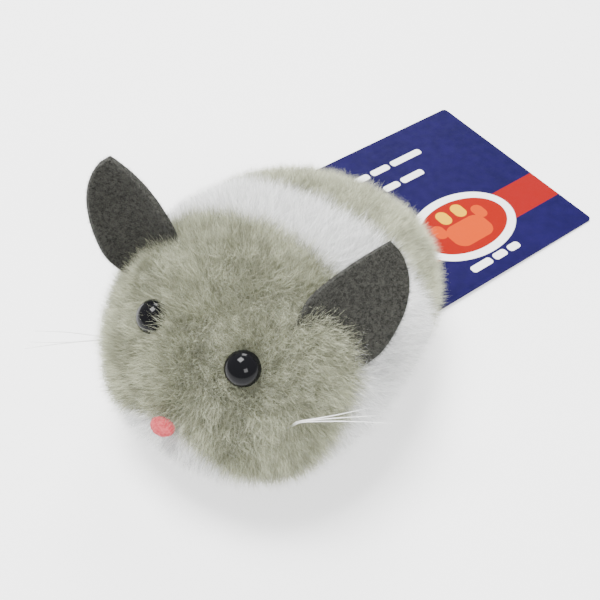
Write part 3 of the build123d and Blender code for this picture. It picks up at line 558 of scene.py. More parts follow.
@dataclass(frozen=True)
class PrintedCard(Finish):
    """The tag's print: navy ground, red band, white oval with a paw, and plain white dashes."""

    name: str = "printed_card"
    middle: Point = (5.6 * MM, 66.2 * MM, 0.0)
    turn: float = math.radians(-20.5)
    navy: Colour = (0.003, 0.0015, 0.035)
    navy_light: Colour = (0.006, 0.003, 0.05)
    red: Colour = (0.24, 0.005, 0.001)
    white: Colour = (0.86, 0.87, 0.88)
    orange: Colour = (0.46, 0.045, 0.0)
    yellow: Colour = (0.65, 0.33, 0.0)
    band: tuple[float, float] = (11.8, 5.2)
    oval: tuple[float, float] = (11.2, 15.6)
    oval_middle: float = 11.0
    ring: float = 2.3
    rows: tuple[tuple[float, float, tuple[float, ...]], ...] = (
        (-18.4, -17.5, (9.5, 6.5, 11.0)),
        (-11.4, -8.5, (5.5, 8.0)),
        (24.0, -9.5, (7.0, 4.5, 4.0)),
    )
    dash_gap: float = 0.6
    toes: tuple[Range, ...] = ((-1.6, -7.0), (-4.9, -2.6), (-4.9, 2.6), (-1.6, 7.0))
    ink: Grain = Grain(45.0, 1.6, 8.0)
    coating: Grain = Grain(700.0, 1.4)

    def shapes(self) -> list[tuple[Colour, Point, Point, float]]:
        """The print's plain shapes in the order they are laid down.

        Returns:
            Each shape's colour, centre, half size and corner radius, in millimetres.
        """
        found = [(self.red, (self.band[0], 0, 0), (self.band[1], 60, 0), 0.05)]
        for row, start, lengths in self.rows:
            at = start
            for length in lengths:
                found.append((self.white, (row, at + length / 2, 0), (0.25, length / 2 - 1.0, 0), 0.85))
                at += length + self.dash_gap
        return found

    def paw(self) -> list[tuple[Colour, Point, Point, float]]:
        """The paw inside the oval, a pad and four toes.

        Returns:
            Each shape as shapes gives it, in millimetres.
        """
        middle = self.oval_middle
        found = [(self.orange, (middle + 2.3, 0, 0), (0.9, 3.2, 0), 3.1)]
        for toe, (back, aside) in enumerate(self.toes):
            tint = self.yellow if toe in (1, 2) else self.orange
            found.append((tint, (middle + back, aside, 0), (0.7, 0.0, 0), 1.75))
        return found

    def oval_mask(self, shader: Shader, place: Socket, shrink: float) -> Socket:
        """A filled oval, smaller by shrink all round, in millimetres.

        Args:
            shader: the material that gets the nodes.
            place: the print's own coordinates.
            shrink: how far inside the outer oval its edge lies.

        Returns:
            The mask's socket.
        """
        half_u, half_v = (half - shrink for half in self.oval)
        shift = {0: place, 1: (self.oval_middle * MM, 0.0, 0.0)}
        offset = shader.add("VectorMath", shift, operation="SUBTRACT").outputs[0]
        scaled = {0: offset, 1: (1 / (half_u * MM), 1 / (half_v * MM), 0.0)}
        unit = shader.add("VectorMath", scaled, operation="MULTIPLY").outputs[0]
        radius = shader.add("VectorMath", {0: unit}, operation="LENGTH").outputs["Value"]
        return shader.ranged(radius, (1.005, 0.99))

    def make(self, speckle: Tree) -> Material:
        """Builds the print on the card's own flat coordinates, with its coated surface.

        Args:
            speckle: the shared Speckle group.

        Returns:
            The finished material.
        """
        shape = printed_shape_group()
        shader = Shader(self.name, self.navy, 0.6, Specular_IOR_Level=0.06)
        sockets = {0: shader.object_place(), 1: self.middle, 2: (0.0, 0.0, self.turn)}
        flat = shader.add("Mapping", sockets, vector_type="TEXTURE").outputs[0]
        colour = shader.blend(shader.speckled(speckle, self.ink), self.navy, self.navy_light)

        def lay(base: Socket, shapes: list) -> Socket:
            """Lays shapes over a colour.

            Args:
                base: the colour to start from.
                shapes: the shapes, in the order they are laid down.

            Returns:
                The covered colour's socket.
            """
            for tint, centre, half, corner in shapes:
                values = {
                    "Place": flat,
                    "Centre": tuple(c * MM for c in centre),
                    "Half Size": tuple(h * MM for h in half),
                    "Corner": corner * MM,
                }
                base = shader.blend(shader.group(shape, values).outputs[0], base, tint)
            return base

        colour = lay(colour, self.shapes())
        for shrink, tint in ((0.0, self.white), (self.ring, self.red)):
            colour = shader.blend(self.oval_mask(shader, flat, shrink), colour, tint)
        colour = lay(colour, self.paw())
        shader.feed("Base Color", colour)
        fine = shader.speckled(speckle, self.coating)
        shader.feed("Roughness", shader.ranged(fine, target=(0.5, 0.65)))
        shader.bump(fine, 0.015 * MM, 0.4)
        return shader.material


class Finishes:
    """Every finish of the mouse, made once, by the record's slot names."""

    def __init__(self) -> None:
        """Makes the shared group and all the materials."""
        speckle = speckle_group()
        lengthwise = (1.0, 0.2, 1.0)
        finishes = (
            PileFinish(
                "grey_pile",
                # the root colour is painted shade between the hairs
                root=(0.035, 0.037, 0.017),
                middle=(0.235, 0.245, 0.145),
                tip=(0.70, 0.715, 0.53),
                patch=(0.105, 0.11, 0.055),
            ),
            PileFinish(
                "white_pile",
                # the root colour is painted shade between the hairs
                root=(0.75, 0.76, 0.74),
                middle=(0.93, 0.935, 0.93),
                tip=(0.97, 0.975, 0.97),
                patch=(0.88, 0.885, 0.87),
            ),
            BackingFinish("grey_backing", (0.12, 0.12, 0.08), (0.07, 0.07, 0.045)),
            BackingFinish("white_backing", (0.72, 0.73, 0.70), (0.6, 0.6, 0.57)),
            FeltFinish("felt", (0.018, 0.018, 0.015), (0.056, 0.056, 0.048), (0.15, 0.15, 0.13)),
            BeadFinish("bead"),
            FlockFinish("nose_pink", (0.36, 0.02, 0.03), (0.5, 0.07, 0.08)),
            FlockFinish("nylon", (0.82, 0.82, 0.80), (0.9, 0.9, 0.9), roughness=0.3, rise=0.01),
            MouldedFinish("base_plastic", (0.03, 0.03, 0.032)),
            MouldedFinish("casing_plastic", (0.55, 0.56, 0.58), roughness=0.35),
            MouldedFinish("key_plastic", (0.80, 0.79, 0.74), roughness=0.35),
            MouldedFinish("gear_plastic", (0.78, 0.74, 0.62), roughness=0.4),
            MouldedFinish("hub_plastic", (0.78, 0.13, 0.05), roughness=0.35),
            MouldedFinish("tyre_rubber", (0.02, 0.02, 0.02), roughness=0.75, scuff=0.15, grain=0.06),
            MetalFinish("steel", (0.60, 0.60, 0.61), roughness=0.28),
            MetalFinish("spring_steel", (0.34, 0.37, 0.45), roughness=0.32, stretch=lengthwise),
            MetalFinish("plate_steel", (0.52, 0.51, 0.49), roughness=0.36, stretch=(1.0, 0.15, 1.0)),
        )
        self.by_slot = {finish.name: finish.make(speckle) for finish in finishes}
        self.by_slot["card"] = PrintedCard().make(speckle)

    def __getitem__(self, slot: str) -> Material:
        """The material of a slot."""
        return self.by_slot[slot]


# ---------------------------------------------------------------- mesh helpers
def mesh_object(name: str, points: np.ndarray, faces: list, smooth: bool = True) -> Thing:
    """Makes an object from points and faces, with its normals facing out.

    Args:
        name: the object's name.
        points: one row for each point, in metres.
        faces: point numbers for each face.
        smooth: whether the faces are shaded smooth.

    Returns:
        The object, linked to the scene.
    """
    mesh = bpy.data.meshes.new(name)
    mesh.from_pydata([tuple(map(float, p)) for p in points], [], [list(map(int, f)) for f in faces])
    body = bmesh.new()
    body.from_mesh(mesh)
    bmesh.ops.remove_doubles(body, verts=body.verts, dist=1e-7)
    bmesh.ops.recalc_face_normals(body, faces=body.faces)
    body.to_mesh(mesh)
    body.free()
    mesh.polygons.foreach_set("use_smooth", [smooth] * len(mesh.polygons))
    return linked(bpy.data.objects.new(name, mesh))


def linked(thing: Thing) -> Thing:
    """Links an object to the scene and gives it back."""
    bpy.context.scene.collection.objects.link(thing)
    return thing


def copied(thing: Thing, name: str) -> Thing:
    """Copies an object with its own mesh, under a new name.

    Args:
        thing: the object to copy.
        name: the copy's name.

    Returns:
        The copy, linked to the scene.
    """
    other = thing.copy()
    other.data = thing.data.copy()
    other.name = name
    return linked(other)


def grid_faces(rows: int, columns: int, closed: bool) -> list[tuple[int, int, int, int]]:
    """The faces of a grid of points, laid row after row.

    Args:
        rows: how many rows there are.
        columns: how many points a row has.
        closed: whether each row is a loop.

    Returns:
        Four point numbers for each face.
    """
    last = columns if closed else columns - 1
    faces = []
    for r in range(rows - 1):
        for c in range(last):
            right = (c + 1) % columns
            low, high = r * columns, (r + 1) * columns
            faces.append((low + c, low + right, high + right, high + c))
    return faces


def applied(thing: Thing, material: Material | None = None) -> Thing:
    """Turns an object and its modifiers into a plain mesh.

    Args:
        thing: the object to settle.
        material: its only material, or None to keep its own.

    Returns:
        The same object, with no modifiers left.
    """
    bpy.context.view_layer.update()
    settled = thing.evaluated_get(bpy.context.evaluated_depsgraph_get())
    mesh = bpy.data.meshes.new_from_object(settled)
    thing.modifiers.clear()
    thing.data = mesh
    if material is not None:
        mesh.materials.clear()
        mesh.materials.append(material)
    return thing


def ring(middle: Vector, aside: Vector, front: Vector, radius: float, turns: int) -> list[Vector]:
    """A circle of points round a middle, in the plane of two directions."""
    angles = [2 * math.pi * k / turns for k in range(turns)]
    return [middle + (aside * (radius * math.cos(a)) + front * (radius * math.sin(a))) for a in angles]


def lathe(name: str, profile: list[Range], centre: Vector, axis: Vector, turns: int) -> Thing:
    """Turns a profile about an axis.

    Args:
        name: the object's name.
        profile: (radius, height) pairs from pole to pole; a zero radius closes an end.
        centre: the point of height 0.
        axis: the direction of growing height.
        turns: how many sides the round form has.

    Returns:
        The closed object.
    """
    up = axis.normalized()
    aside = up.orthogonal().normalized()
    front = up.cross(aside)
    points = []
    for radius, height in profile:
        points += ring(centre + up * height, aside, front, radius, turns)
    return mesh_object(name, np.array(points), grid_faces(len(profile), turns, True))


def declare(piece: Thing, slot: str, *nodes: str) -> Thing:
    """Rides a piece on the mouse, hides the CAD nodes that it stands for, and reports it.

    Args:
        piece: the piece to declare.
        slot: its material slot's name; not used.
        nodes: the CAD nodes that it stands for.

    Returns:
        The same piece.
    """
    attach(piece, ROOT_BODY)
    if nodes:
        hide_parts(*nodes)
    log.info("%s: %d faces", piece.name, len(piece.data.polygons))
    return piece


def store_pile(mesh: bpy.types.Mesh, lengths: list[float], combs: list[float]) -> None:
    """Stores each point's pile length and the three numbers of its comb direction."""
    mesh.attributes.new("pile", "FLOAT", "POINT").data.foreach_set("value", lengths)
    mesh.attributes.new("comb", "FLOAT_VECTOR", "POINT").data.foreach_set("vector", combs)


def on_side(side: Side, place: Point) -> Vector:
    """A left-hand place or direction on the given side."""
    return Vector((place[0] * side.value, place[1], place[2]))


# ---------------------------------------------------------------- the stuffed body
@dataclass
class BodyForm:
    """The stuffed body's outer cloth as sections along Y; each end of it has its own fullness."""

    nose_y: float = -35.4 * MM
    rump_y: float = 36.6 * MM
    widest_y: float = -5.2 * MM
    half_width: float = 27.6 * MM
    top_z: float = 41.6 * MM
    middle_z: float = 19.0 * MM
    belly_depth: float = 18.6 * MM
    flat_z: float = 4.9 * MM
    nose_drop: float = 4.2 * MM
    plan_power: Range = (2.1, 2.33)
    back_power: Range = (1.74, 1.45)
    belly_power: Range = (1.74, 2.2)
    section_power: float = 2.1
    rows: int = 110
    columns: int = 144

    def section(self, share: float) -> tuple[float, float, float, float, float]:
        """One section, from share -1 at the nose to 1 at the rump.

        Args:
            share: the place along the body.

        Returns:
            Its y, half width, middle height, rise over it and depth under it.
        """
        end = int(share > 0)
        reach = (self.rump_y - self.widest_y) if end else (self.widest_y - self.nose_y)
        size = abs(share)

        def fall(power: float) -> float:
            """How much of the full size is left at this place."""
            return max(1.0 - size**power, 0.0) ** (1.0 / power)

        middle = self.middle_z - (0.0 if end else self.nose_drop * size**2)
        rise = (self.top_z - self.middle_z) * fall(self.back_power[end])
        depth = self.belly_depth * fall(self.belly_power[end])
        wide = self.half_width * fall(self.plan_power[end])
        return self.widest_y + share * reach, wide, middle, rise, depth

    def points(self) -> np.ndarray:
        """The form's grid of points, row after row from nose to rump.

        Returns:
            One row for each point, in metres.
        """
        found = []
        for r in range(self.rows):
            share = math.sin(math.pi * (r / (self.rows - 1) - 0.5))
            y, wide, middle, rise, depth = self.section(share)
            for c in range(self.columns):
                angle = 2 * math.pi * c / self.columns
                across = math.copysign(abs(math.cos(angle)) ** (2 / self.section_power), math.cos(angle))
                up = math.copysign(abs(math.sin(angle)) ** (2 / self.section_power), math.sin(angle))
                height = middle + up * (rise if up > 0 else depth)
                found.append((wide * across, y, max(height, self.flat_z)))
        return np.array(found)


@dataclass(frozen=True)
class Seam:
    """A flat cut through the body: a point on it and the direction it faces."""

    point: Point
    facing: Point

    def faces(self, place: Vector) -> bool:
        """Whether a place is on the faced side."""
        return (place - Vector(self.point)).dot(Vector(self.facing)) > 0

    def score(self, body: bmesh.types.BMesh) -> None:
        """Lays an edge along the cut, leaving both sides."""
        parts = body.verts[:] + body.edges[:] + body.faces[:]
        bmesh.ops.bisect_plane(body, geom=parts, plane_co=self.point, plane_no=self.facing)


@dataclass
class Panel:
    """One cut of pile cloth: its pile and the CAD nodes that it stands for."""

    name: str
    slot: str
    nodes: tuple[str, ...]
    hairs: int
    skin: Thing | None = None


@dataclass
class PlushBody:
    """The four panels of pile cloth over their stuffing."""

    form: BodyForm = field(default_factory=BodyForm)
    cloth: float = 1.2 * MM
    well: tuple[float, float, float, float] = (14.8 * MM, -23.8 * MM, 20.2 * MM, 9.4 * MM)
    fill: float = 0.9

    def seams(self) -> dict[str, Seam]:
        """The flat cuts: belly, head, rump and the two sides of the bib under the nose.

        Returns:
            Each cut by its name.
        """
        tilt, lean = math.radians(9.0), math.radians(42.0)
        return {
            "belly": Seam((0, -8 * MM, 18 * MM), (0, math.sin(tilt), math.cos(tilt))),
            "front": Seam((0, -1 * MM, 41 * MM), (0, -math.cos(lean), math.sin(lean))),
            "rear": Seam((0, 13 * MM, 0), (0, 1, 0)),
            "bib_left": Seam((0, 0, 22.6 * MM), (0.5, 0, 1)),
            "bib_right": Seam((0, 0, 22.6 * MM), (-0.45, 0, 1)),
        }

    def panels(self) -> list[Panel]:
        """The cut list.

        Returns:
            The panels, front to back and belly last.
        """
        return [
            Panel("head", "grey", ("head_panel", "head_wad"), 65000),
            Panel("saddle", "white", ("saddle_panel", "back_wad"), 58000),
            Panel("rump", "grey", ("rump_panel", "rump_wad"), 56000),
            Panel("belly", "white", ("belly_panel",), 36000),
        ]

    def panel_at(self, seams: dict[str, Seam], place: Vector) -> str:
        """The name of the panel that covers a place.

        Args:
            seams: the flat cuts.
            place: a place on the body's skin.

        Returns:
            The panel's name.
        """
        above = seams["belly"].faces(place)
        if seams["front"].faces(place):
            beside = seams["bib_left"].faces(place) or seams["bib_right"].faces(place)
            return "head" if above or beside else "belly"
        if not above:
            return "belly"
        return "rump" if seams["rear"].faces(place) else "saddle"

    def in_well(self, place: Vector) -> bool:
        """Whether a place is inside the rounded opening over the base plate.

        Args:
            place: a place on the body's skin.

        Returns:
            True where the cloth is cut away.
        """
        half, front, rear, corner = self.well
        dx = max(abs(place.x) - (half - corner), 0.0)
        dy = max(front + corner - place.y, place.y - (rear - corner), 0.0)
        return place.z < self.form.flat_z + 2 * MM and math.hypot(dx, dy) < corner

    def cut(self, panel: Panel) -> Thing:
        """Cuts a panel's outer skin from the whole form.

        Args:
            panel: the panel to cut.

        Returns:
            The open skin.
        """
        form = self.form
        faces = grid_faces(form.rows, form.columns, True)
        skin = mesh_object(f"{panel.name}_skin", form.points(), faces)
        body = bmesh.new()
        body.from_mesh(skin.data)
        seams = self.seams()
        for seam in seams.values():
            seam.score(body)
        centres = [(face, face.calc_center_median()) for face in body.faces]
        inside = [f for f, at in centres if self.in_well(at) or self.panel_at(seams, at) != panel.name]
        bmesh.ops.delete(body, geom=inside, context="FACES")
        body.to_mesh(skin.data)
        body.free()
        return skin

    def build(self, finishes: Finishes) -> list[Panel]:
        """Makes each panel's closed cloth and keeps its skin for the pile.

        Args:
            finishes: the mouse's finishes.

        Returns:
            The panels, each with its skin.
        """
        cut_list = self.panels()
        for panel in cut_list:
            panel.skin = self.cut(panel)
            cloth = copied(panel.skin, f"{panel.name}_cloth")
            wall = cloth.modifiers.new("wall", "SOLIDIFY")
            wall.thickness = self.cloth
            wall.offset = -1.0
            applied(cloth, finishes[f"{panel.slot}_backing"])
            declare(cloth, f"{panel.slot}_pile", *panel.nodes)
        return cut_list


# ---------------------------------------------------------------- pile
BARE = 0.05


def blade_object(name: str, bend: float, width: float) -> Thing:
    """One hair as a tapering, bent ribbon of unit length, with its own along attribute.

    Args:
        name: the object's name.
        bend: how far its tip leans over, as a share of its length.
        width: its width at the root.

    Returns:
        The object, not linked to the scene.
    """
    stations, droop = ((0.0, 1.0), (0.55, 0.8)), 0.22 * bend
    points, along = [], []
    for height, taper in stations:
        lean = bend * height**1.8
        rise = height * (1.0 - droop * height)
        for side in (-1, 1):
            points.append((lean, side * width * taper / 2, rise))
            along.append(height)
    points.append((bend, 0.0, 1.0 - droop))
    along.append(1.0)
    mesh = bpy.data.meshes.new(name)
    mesh.from_pydata(points, [], [(0, 1, 3, 2), (2, 3, 4)])
    mesh.polygons.foreach_set("use_smooth", [True] * 2)
    mesh.attributes.new("along", "FLOAT", "POINT").data.foreach_set("value", along)
    return bpy.data.objects.new(name, mesh)


class HairTree:
    """The Geometry Nodes tree that plants hairs on a skin and combs them into tufts."""

    sizes = ("Density", "Length", "Length Spread", "Width", "Tuft Scale", "Tuft Pull")
    sizes += ("Wander", "Scatter", "Floor")
    drift_share = 0.45
    angle_draws = (11, 12, 13)
    length_draw = 21
    tone_draw = 31

    def __init__(self) -> None:
        """Builds the tree."""
        self.tree = bpy.data.node_groups.new("Planted Pile", "GeometryNodeTree")
        face = self.tree.interface
        self.ids = {}
        face.new_socket("Geometry", in_out="INPUT", socket_type="NodeSocketGeometry")
        face.new_socket("Geometry", in_out="OUTPUT", socket_type="NodeSocketGeometry")
        inputs = dict.fromkeys(self.sizes, FLOAT)
        inputs |= {"Seed": "NodeSocketInt", "Blades": "NodeSocketCollection"}
        inputs |= {"Material": "NodeSocketMaterial"}
        for label, kind in inputs.items():
            self.ids[label] = face.new_socket(label, in_out="INPUT", socket_type=kind).identifier
        self.wire()

    def add(self, kind: str, sockets: dict | None = None, **settings: object) -> Node:
        """Adds a geometry or function node by its full type name."""
        return add_node(self.tree, kind, sockets, **settings)

    def maths(self, operation: str, first: object, second: object) -> Socket:
        """A scalar maths step."""
        return self.add("ShaderNodeMath", {0: first, 1: second}, operation=operation).outputs[0]

    def vector(self, operation: str, first: object, second: object) -> Socket:
        """A vector maths step; SCALE takes a number as its second value."""
        key = "Scale" if operation == "SCALE" else 1
        return self.add("ShaderNodeVectorMath", {0: first, key: second}, operation=operation).outputs[0]

    def combined(self, x: object, y: object, z: object) -> Socket:
        """A vector made from three numbers."""
        return self.add("ShaderNodeCombineXYZ", {0: x, 1: y, 2: z}).outputs[0]

    def random(self, low: float, high: float, seed: Socket, shift: int) -> Socket:
        """A number drawn for each hair.

        Args:
            low: the least value.
            high: the greatest value.
            seed: the tree's seed.
            shift: what sets this draw apart from the others.

        Returns:
            The number's socket.
        """
        drawn = self.add("FunctionNodeRandomValue", {2: low, 3: high}, data_type="FLOAT")
        moved = self.maths("ADD", seed, float(shift))
        self.tree.links.new(moved, drawn.inputs["Seed"])
        return drawn.outputs[1]

    def combed(self, head: Node) -> Socket:
        """The direction a hair leans in: its skin's comb, pulled to its tuft and wandering.

        Args:
            head: the tree's input node.

        Returns:
            The direction's socket.
        """
        sockets = {"Name": "comb"}
        comb = self.add("GeometryNodeInputNamedAttribute", sockets, data_type="FLOAT_VECTOR").outputs[0]
        place = self.add("GeometryNodeInputPosition").outputs[0]
        scale = head.outputs["Tuft Scale"]
        cells = {"Vector": place, "Scale": scale, "Randomness": 1.0}
        tuft = self.add("ShaderNodeTexVoronoi", cells, feature="F1").outputs["Position"]
        pull = self.vector("SCALE", self.vector("SUBTRACT", tuft, place), scale)
        pull = self.vector("SCALE", pull, head.outputs["Tuft Pull"])
        broader = self.maths("MULTIPLY", scale, self.drift_share)
        sockets = {"Vector": place, "Scale": broader, "Detail": 2.0}
        drift = self.add("ShaderNodeTexNoise", sockets).outputs["Color"]
        drift = self.vector("SUBTRACT", drift, (0.5, 0.5, 0.5))
        drift = self.vector("SCALE", drift, head.outputs["Wander"])
        return self.vector("ADD", self.vector("ADD", comb, pull), drift)

    def wire(self) -> None:
        """Links the tree from the skin to the realised hairs."""
        head = self.add("NodeGroupInput")
        seed = head.outputs["Seed"]
        share = self.add("GeometryNodeInputNamedAttribute", {"Name": "pile"}, data_type="FLOAT").outputs[0]
        planted = self.maths("GREATER_THAN", share, BARE)
        density = self.maths("MULTIPLY", head.outputs["Density"], planted)
        sockets = {"Mesh": head.outputs[0], "Density": density, "Seed": seed}
        spread = self.add("GeometryNodeDistributePointsOnFaces", sockets, distribute_method="RANDOM")
        sockets = {"Vector": spread.outputs["Normal"]}
        upright = self.add("FunctionNodeAlignRotationToVector", sockets, axis="Z")
        sockets = {"Rotation": upright.outputs[0], "Vector": self.combed(head)}
        leaning = self.add("FunctionNodeAlignRotationToVector", sockets, axis="X", pivot_axis="Z")
        scatter = head.outputs["Scatter"]
        drawn = [self.random(-1.0, 1.0, seed, draw) for draw in self.angle_draws]
        pitch, roll, yaw = (self.maths("MULTIPLY", angle, scatter) for angle in drawn)
        turn = self.combined(pitch, roll, self.maths("MULTIPLY", yaw, 2.0))
        turn = self.add("FunctionNodeEulerToRotation", {0: turn}).outputs[0]
        sockets = {"Rotation": leaning.outputs[0], "Rotate By": turn}
        turned = self.add("FunctionNodeRotateRotation", sockets, rotation_space="LOCAL").outputs[0]
        uneven = head.outputs["Length Spread"]
        low = self.maths("SUBTRACT", 1.0, uneven)
        drawn = self.random(0.0, 1.0, seed, self.length_draw)
        grown = self.maths("ADD", low, self.maths("MULTIPLY", drawn, uneven))
        length = self.maths("MULTIPLY", self.maths("MULTIPLY", head.outputs["Length"], share), grown)
        size = self.combined(length, head.outputs["Width"], length)
        sockets = {0: head.outputs["Blades"], "Separate Children": True, "Reset Children": True}
        blades = self.add("GeometryNodeCollectionInfo", sockets).outputs[0]
        sockets = {
            "Points": spread.outputs["Points"],
            "Instance": blades,
            "Pick Instance": True,
            "Rotation": turned,
            "Scale": size,
        }
        hairs = self.add("GeometryNodeInstanceOnPoints", sockets).outputs[0]
        tone = self.random(0.0, 1.0, seed, self.tone_draw)
        sockets = {"Geometry": hairs, "Name": "tone", "Value": tone}
        kept = {"data_type": "FLOAT", "domain": "INSTANCE"}
        toned = self.add("GeometryNodeStoreNamedAttribute", sockets, **kept).outputs[0]
        real = self.add("GeometryNodeRealizeInstances", {0: toned}).outputs[0]
        place = self.add("GeometryNodeInputPosition").outputs[0]
        split = self.add("ShaderNodeSeparateXYZ", {0: place})
        raised = self.maths("MAXIMUM", split.outputs[2], head.outputs["Floor"])
        moved = self.combined(split.outputs[0], split.outputs[1], raised)
        settled = self.add("GeometryNodeSetPosition", {"Geometry": real, "Position": moved}).outputs[0]
        sockets = {"Geometry": settled, "Material": head.outputs["Material"]}
        dressed = self.add("GeometryNodeSetMaterial", sockets).outputs[0]
        self.add("NodeGroupOutput", {0: dressed})


@dataclass(frozen=True)
class PileCut:
    """The sizes of one kind of pile."""

    length: float
    width: float
    length_spread: float = 0.4
    tuft_scale: float = 210.0
    tuft_pull: float = 0.22
    wander: float = 3.6
    scatter: float = 0.62
    floor: float = 0.35 * MM


@dataclass
class Pile:
    """Plants, combs and clips the pile of every panel."""

    bends: tuple[float, ...] = (0.2, 0.5, 0.85)
    coats: dict[str, PileCut] = field(
        default_factory=lambda: {
            "top": PileCut(length=5.9 * MM, width=0.085 * MM),
            "under": PileCut(length=4.6 * MM, width=0.09 * MM, tuft_pull=0.0, scatter=0.95),
        }
    )
    fuzz: PileCut = PileCut(length=0.8 * MM, width=0.045 * MM, tuft_pull=0.2, wander=3.0, scatter=1.0)

    def __post_init__(self) -> None:
        """Builds the tree and the blades."""
        self.hair = HairTree()
        self.blades = bpy.data.collections.new("blades")
        for number, bend in enumerate(self.bends):
            self.blades.objects.link(blade_object(f"blade_{number}", bend, 1.0))

    def clear(self) -> None:
        """Removes the blades once every hair is real."""
        for blade in list(self.blades.objects):
            bpy.data.objects.remove(blade)
        bpy.data.collections.remove(self.blades)

    def plant(
        self,
        name: str,
        skin: Thing,
        hairs: int,
        cut: PileCut,
        material: Material,
        seed: int,
    ) -> Thing:
        """Grows real hairs on a skin that has pile and comb attributes.

        Args:
            name: the new piece's name.
            skin: the skin, left as it is.
            hairs: about how many hairs to plant.
            cut: their sizes.
            material: their material.
            seed: the fixed seed.

        Returns:
            The hairs as one plain mesh.
        """
        carrier = copied(skin, name)
        mesh = carrier.data
        share = np.zeros(len(mesh.vertices))
        mesh.attributes["pile"].data.foreach_get("value", share)
        planted = sum(f.area for f in mesh.polygons if share[list(f.vertices)].mean() > BARE)
        values = {size.replace("_", " ").title(): value for size, value in vars(cut).items()}
        values |= {"Density": hairs / planted, "Seed": seed, "Blades": self.blades, "Material": material}
        grown = carrier.modifiers.new("pile", "NODES")
        grown.node_group = self.hair.tree
        for label, value in values.items():
            grown[self.hair.ids[label]] = value
        return applied(carrier, material)


@dataclass(frozen=True)
class Clipping:
    """A round place where the pile is shaved inside one radius and grows to full by another."""

    centre: Point
    bare: float
    full: float

    def share(self, place: Vector) -> float:
        """How much of the full length grows at a place."""
        away = (place - Vector(self.centre)).length
        return min(max((away - self.bare) / (self.full - self.bare), 0.0), 1.0)


@dataclass
class Grooming:
    """Writes each skin's pile and comb attributes."""

    clippings: list[Clipping]
    nose: Point = (0.0, -36.0 * MM, 24.0 * MM)
    muzzle_reach: float = 16.0 * MM
    muzzle_share: float = 0.62
    brow: Point = (-7.2 * MM, -26.5 * MM, 35.5 * MM)
    brow_reach: float = 4.5 * MM
    brow_rise: float = 0.5
    patch_scale: float = 160.0
    patch_depth: float = 0.16
    under_from: float = -0.4
    under_fall: float = 1.1
    under_least: float = 0.3
    outward: float = 0.45
    lie: Point = (0.0, 0.2, -0.3)

    def length_share(self, place: Vector, normal: Vector) -> float:
        """The pile's length at a place, as a share of the full length.

        Args:
            place: a place on the body's skin.
            normal: the skin's normal there.

        Returns:
            The share, over 1 where the pile is longer.
        """
        share = min(clip.share(place) for clip in self.clippings)
        near = (place - Vector(self.nose)).length / self.muzzle_reach
        share *= self.muzzle_share + (1 - self.muzzle_share) * min(near, 1.0)
        close = max(1.0 - (place - Vector(self.brow)).length / self.brow_reach, 0.0)
        share *= 1.0 + self.brow_rise * close
        if normal.z < self.under_from:
            share *= max(self.under_least, 1.0 + (normal.z - self.under_from) * self.under_fall)
        return share * (1.0 + self.patch_depth * noise.noise(place * self.patch_scale))

    def comb(self, place: Vector, normal: Vector) -> Vector:
        """The way the pile lies at a place: away from the nose, back and down.

        Args:
            place: a place on the body's skin.
            normal: the skin's normal there.

        Returns:
            The direction, in the skin's own plane.
        """
        outward = (place - Vector(self.nose)).normalized()
        lie = outward * self.outward + Vector(self.lie)
        return lie - normal * lie.dot(normal)

    def brush(self, skin: Thing) -> None:
        """Stores the attributes on a skin.

        Args:
            skin: the skin to brush.
        """
        lengths, combs = [], []
        for vertex in skin.data.vertices:
            lengths.append(self.length_share(vertex.co, vertex.normal))
            combs.extend(self.comb(vertex.co, vertex.normal))
        store_pile(skin.data, lengths, combs)


